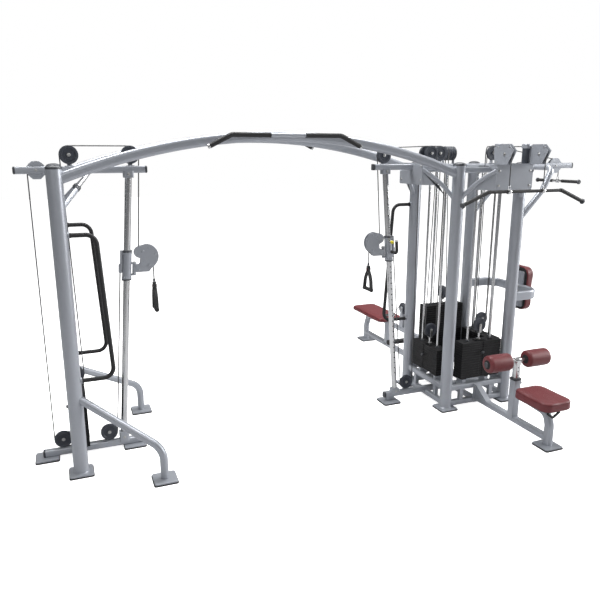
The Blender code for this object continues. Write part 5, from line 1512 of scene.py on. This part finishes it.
def show_end_cable():
    x, _, _, _, _, float_z = STACKS["end"]
    stops = [
        *column_stops("end"),
        (*END_TOP["inner"], WRAP, 1, 0),
        (*END_TOP["outer"], WRAP, 1, 0),
        (x, float_z, WRAP, -1, 0),
        (END_HOUSED_X, TOP_BEAM_Z, END_HOUSED_WRAP, 1, 0),
        (*END_LOW["outer"], WRAP, 1, 0),
        (*END_LOW["inner"], WRAP, 1, 0),
        anchor("end"),
    ]
    show_cable("end_cable", in_xz(wrap_route(stops)), column_bodies("end", "end_lift"))


def column_bodies(which, lift):
    """What the ten stops of a column's cable ride on."""
    arm, carriage = f"{which}_arm_body", f"{which}_carriage_body"
    return [f"{which}_handle_body", arm, arm, "frame", "frame", lift, "frame", "frame", "frame", carriage]


def in_xz(arcs):
    return [[(u, w, v) for u, v, w in arc] for arc in arcs]


def show_column_cable():
    x, y, _, _, _, float_z = STACKS["column"]
    first, second, third = [(u, v, WRAP, turn, w) for (u, v, w), turn in zip(STACK_GUIDES, (-1, 1, 1))]
    stops = [
        *column_stops("core"),
        (*CORE_TOP_PULLEY, WRAP, -1, 0),
        first,
        (x, float_z, WRAP, 1, y),
        second,
        third,
        (*CORE_LOW_PULLEY, WRAP, -1, 0),
        anchor("core"),
    ]
    show_cable("column_cable", in_xz(wrap_route(stops)), column_bodies("core", "column_lift"))


def show_triceps_cable():
    x, y, _, _, _, float_z = STACKS["triceps"]
    stops = [
        (TRICEPS_HOUSED_X + TRICEPS_WRAP, TRICEPS_BAR_Z + 0.044, 0, 0, 0),
        (TRICEPS_HOUSED_X, TOP_BEAM_Z, TRICEPS_WRAP, 1, 0),
        (*TRICEPS_GUIDE, WRAP, 1, 0),
        (x, float_z, WRAP, 1, y),
        (x + WRAP, CABLE_END_Z, 0, 0, y),
    ]
    show_cable(
        "triceps_cable", in_xz(wrap_route(stops)),
        ["triceps_bar_body", "frame", "frame", "triceps_lift", "frame"],
    )


def show_row_cable():
    x, y, _, _, _, float_z = STACKS["row"]
    stops = [
        (ROW_PAD_Y[0] - 0.045, BENCH_TOP_Z + 0.040, 0, 0, 0),
        (*ROW_PULLEY, WRAP, 1, 0),
        (*ROW_LOW[0], WRAP, -1, 0),
        (*ROW_LOW[1], WRAP, -1, 0),
        (*ROW_TOP, WRAP, 1, 0),
        (y, float_z, WRAP, 1, x),
        (y + WRAP, CABLE_END_Z, 0, 0, x),
    ]
    arcs = [[(w, u, v) for u, v, w in arc] for arc in wrap_route(stops)]
    show_cable(
        "row_cable", arcs, ["row_handle_body", "frame", "frame", "frame", "frame", "row_lift", "frame"]
    )


def quarter_arc(centre, radius, start, end, steps=12):
    turns = [math.pi / 2 * i / steps for i in range(steps + 1)]
    lead, tail = Vector(start), Vector(end)
    return [Vector(centre) + radius * (math.cos(t) * lead + math.sin(t) * tail) for t in turns]


def show_lat_cable():
    x, y, _, _, _, float_z = STACKS["lat"]
    halves = []
    for side in (-1, 1):
        bar_x = side * LAT_CABLE_X
        over = quarter_arc((bar_x, LAT_CABLE_Y + WRAP, LAT_HUB_Z), WRAP, (0, -1, 0), Z)
        bend = Vector((bar_x, -0.592, LAT_HUB_Z + WRAP))
        drop = Vector((x + side * WRAP, y, LAT_HUB_Z))
        way = Vector((drop.x - bend.x, drop.y - bend.y, 0)).normalized()
        down = quarter_arc(drop - way * WRAP, WRAP, Z, way)
        halves.append(([(bar_x, LAT_CABLE_Y, LAT_BAR_Z + 0.046)], [*over, bend, *down]))
    turns = [math.pi * (1 + i / 24) for i in range(25)]
    under = [(x + WRAP * math.cos(t), y, float_z + WRAP * math.sin(t)) for t in turns]
    arcs = [*halves[0], under, halves[1][1][::-1], halves[1][0]]
    show_cable("lat_cable", arcs, ["lat_bar_body", "frame", "lat_lift", "frame", "lat_bar_body"])


# ---------------------------------------------------------------- studio
def make_camera():
    camera = bpy.data.cameras.new("camera")
    camera.lens = CAMERA_LENS
    camera.sensor_width = CAMERA_SENSOR
    obj = placed("camera", camera)
    obj.location = Vector(CAMERA_PLAN) + ORIGIN
    obj.rotation_euler = [math.radians(a) for a in CAMERA_TILT]
    bpy.context.scene.camera = obj


def area_light(name, place, target, size, power):
    lamp = bpy.data.lights.new(name, "AREA")
    lamp.shape = "RECTANGLE"
    lamp.size, lamp.size_y = size
    lamp.energy = power
    obj = placed(name, lamp)
    obj.location = place
    obj.rotation_euler = (Vector(target) - Vector(place)).to_track_quat("-Z", "Y").to_euler()


def two_faced(tree, out_kind, rays, camera):
    """End a node tree with one shader for the camera and another for all other rays."""
    seen = add_node(tree, "ShaderNodeLightPath").outputs["Is Camera Ray"]
    mix = add_node(tree, "ShaderNodeMixShader", Fac=seen)
    plug(tree, mix.inputs[1], rays.outputs[0])
    plug(tree, mix.inputs[2], camera.outputs[0])
    add_node(tree, out_kind, Surface=mix.outputs[0])


def make_studio():
    """White surroundings for the camera, a softer graded room for reflections, three soft lamps."""
    world = bpy.data.worlds.new("studio")
    bpy.context.scene.world = world
    world.use_nodes = True
    tree = world.node_tree
    tree.nodes.clear()
    where = add_node(tree, "ShaderNodeTexCoord").outputs["Generated"]
    height = add_node(tree, "ShaderNodeSeparateXYZ", Vector=where).outputs["Z"]
    ramp = add_node(tree, "ShaderNodeValToRGB", Fac=mapped(tree, height, From_Min=-1.0, From_Max=1.0))
    low, high = ramp.color_ramp.elements
    low.position, low.color = 0.30, (0.50, 0.50, 0.51, 1)
    high.position, high.color = 0.85, (1.0, 1.0, 1.0, 1)
    ramp.color_ramp.elements.new(0.5).color = (0.26, 0.27, 0.28, 1)
    room = add_node(tree, "ShaderNodeBackground", Color=ramp.outputs["Color"], Strength=0.42)
    plain = add_node(tree, "ShaderNodeBackground", Color=(1, 1, 1, 1), Strength=1.0)
    two_faced(tree, "ShaderNodeOutputWorld", room, plain)
    x = ORIGIN.x - 1.6
    area_light("key", (x + 12.0, -3.5, 4.5), (x, 0, 1.1), (6.0, 6.0), 1350)
    area_light("fill", (x - 4.0, -6.0, 4.5), (x, 0, 1.0), (4.0, 3.0), 75)
    area_light("top", (x, 0.5, 6.0), (x, 0, 0.0), (7.0, 2.0), 500)


def make_floor():
    """A pale floor that keeps only a faint contact shadow."""
    shape = bmesh.new()
    bmesh.ops.create_grid(shape, x_segments=1, y_segments=1, size=30)
    floor = placed("floor", to_mesh("floor", shape))
    floor.location = (0, 0, -0.0005)
    pale = bpy.data.materials.new("pale_floor")
    pale.use_nodes = True
    tree = pale.node_tree
    tree.nodes.clear()
    both = add_node(tree, "ShaderNodeAddShader")
    diffuse = add_node(tree, "ShaderNodeBsdfDiffuse", Color=(0.9, 0.9, 0.9, 1))
    glow = add_node(tree, "ShaderNodeEmission", Color=(1, 1, 1, 1), Strength=0.85)
    plug(tree, both.inputs[0], diffuse.outputs[0])
    plug(tree, both.inputs[1], glow.outputs[0])
    dim = add_node(tree, "ShaderNodeBsdfDiffuse", Color=(0.55, 0.55, 0.56, 1))
    two_faced(tree, "ShaderNodeOutputMaterial", dim, both)
    floor.data.materials.append(pale)


# ---------------------------------------------------------------- build
def plan_origin():
    """Where the plan frame's origin lies in the row frame: the middle of the core posts."""
    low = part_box("core_post_front_left")[0]
    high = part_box("core_post_rear_right")[1]
    middle = (low + high) / 2
    return Vector((middle.x, middle.y, 0))


def build():
    ends = ((-1, "front"), (1, "rear"))
    for side, where in ends:
        show_post(f"core_post_{where}_left", -CORE_X, side * POST_Y)
        show_post(f"core_post_{where}_right", CORE_X, side * POST_Y)
    for side, where in ends:
        show_post(f"end_post_{where}", END_X, side * POST_Y)
        show_arch(f"arch_tube_{where}", side * POST_Y)
        show_pull_up_bar(f"pull_up_bar_{where}", side)
        show_grab_rail(f"end_grab_rail_{where}", END_X, side * POST_Y, 1, 1.80, 0.735, 0.235, 0.29)
        show_end_leg(f"end_leg_{where}", side)
    show_grab_rail("core_grab_rail", -CORE_X, POST_Y, -1, 1.87, 0.72, 0.24, 0.31)
    show_end_top_beam()
    show_end_base_beam()
    show_core_top_frame()
    show_core_base_frame()
    for which in COLUMNS:
        show_column(which)
        show_carriage(which)
        show_pop_pin(which)
        show_swivel_arm(which)
        show_handle(which)
    show_end_pulleys()
    for station in STACKS:
        show_stack(station)
        show_lift_head(station)
    show_lat_seat_frame()
    show_thigh_post()
    show_roller("thigh_roller_left", -1)
    show_roller("thigh_roller_right", 1)
    show_lat_bar()
    show_row_bench_frame()
    show_row_handle()
    show_back_support()
    show_triceps_bar()
    show_end_cable()
    show_column_cable()
    show_triceps_cable()
    show_row_cable()
    show_lat_cable()
    for node, (low, high, corner, axis, slack) in PADS.items():
        show_pad(node, low, high, corner, axis, slack)


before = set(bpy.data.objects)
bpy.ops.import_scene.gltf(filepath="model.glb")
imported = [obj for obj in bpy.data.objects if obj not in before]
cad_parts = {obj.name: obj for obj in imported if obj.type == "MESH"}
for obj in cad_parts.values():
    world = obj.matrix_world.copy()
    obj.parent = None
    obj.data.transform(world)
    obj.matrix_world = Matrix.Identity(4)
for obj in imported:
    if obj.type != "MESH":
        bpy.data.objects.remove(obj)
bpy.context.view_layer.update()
ORIGIN = plan_origin()
bpy.context.scene.view_settings.view_transform = "Standard"
MATERIALS = make_materials()
build()
make_camera()
make_studio()
make_floor()
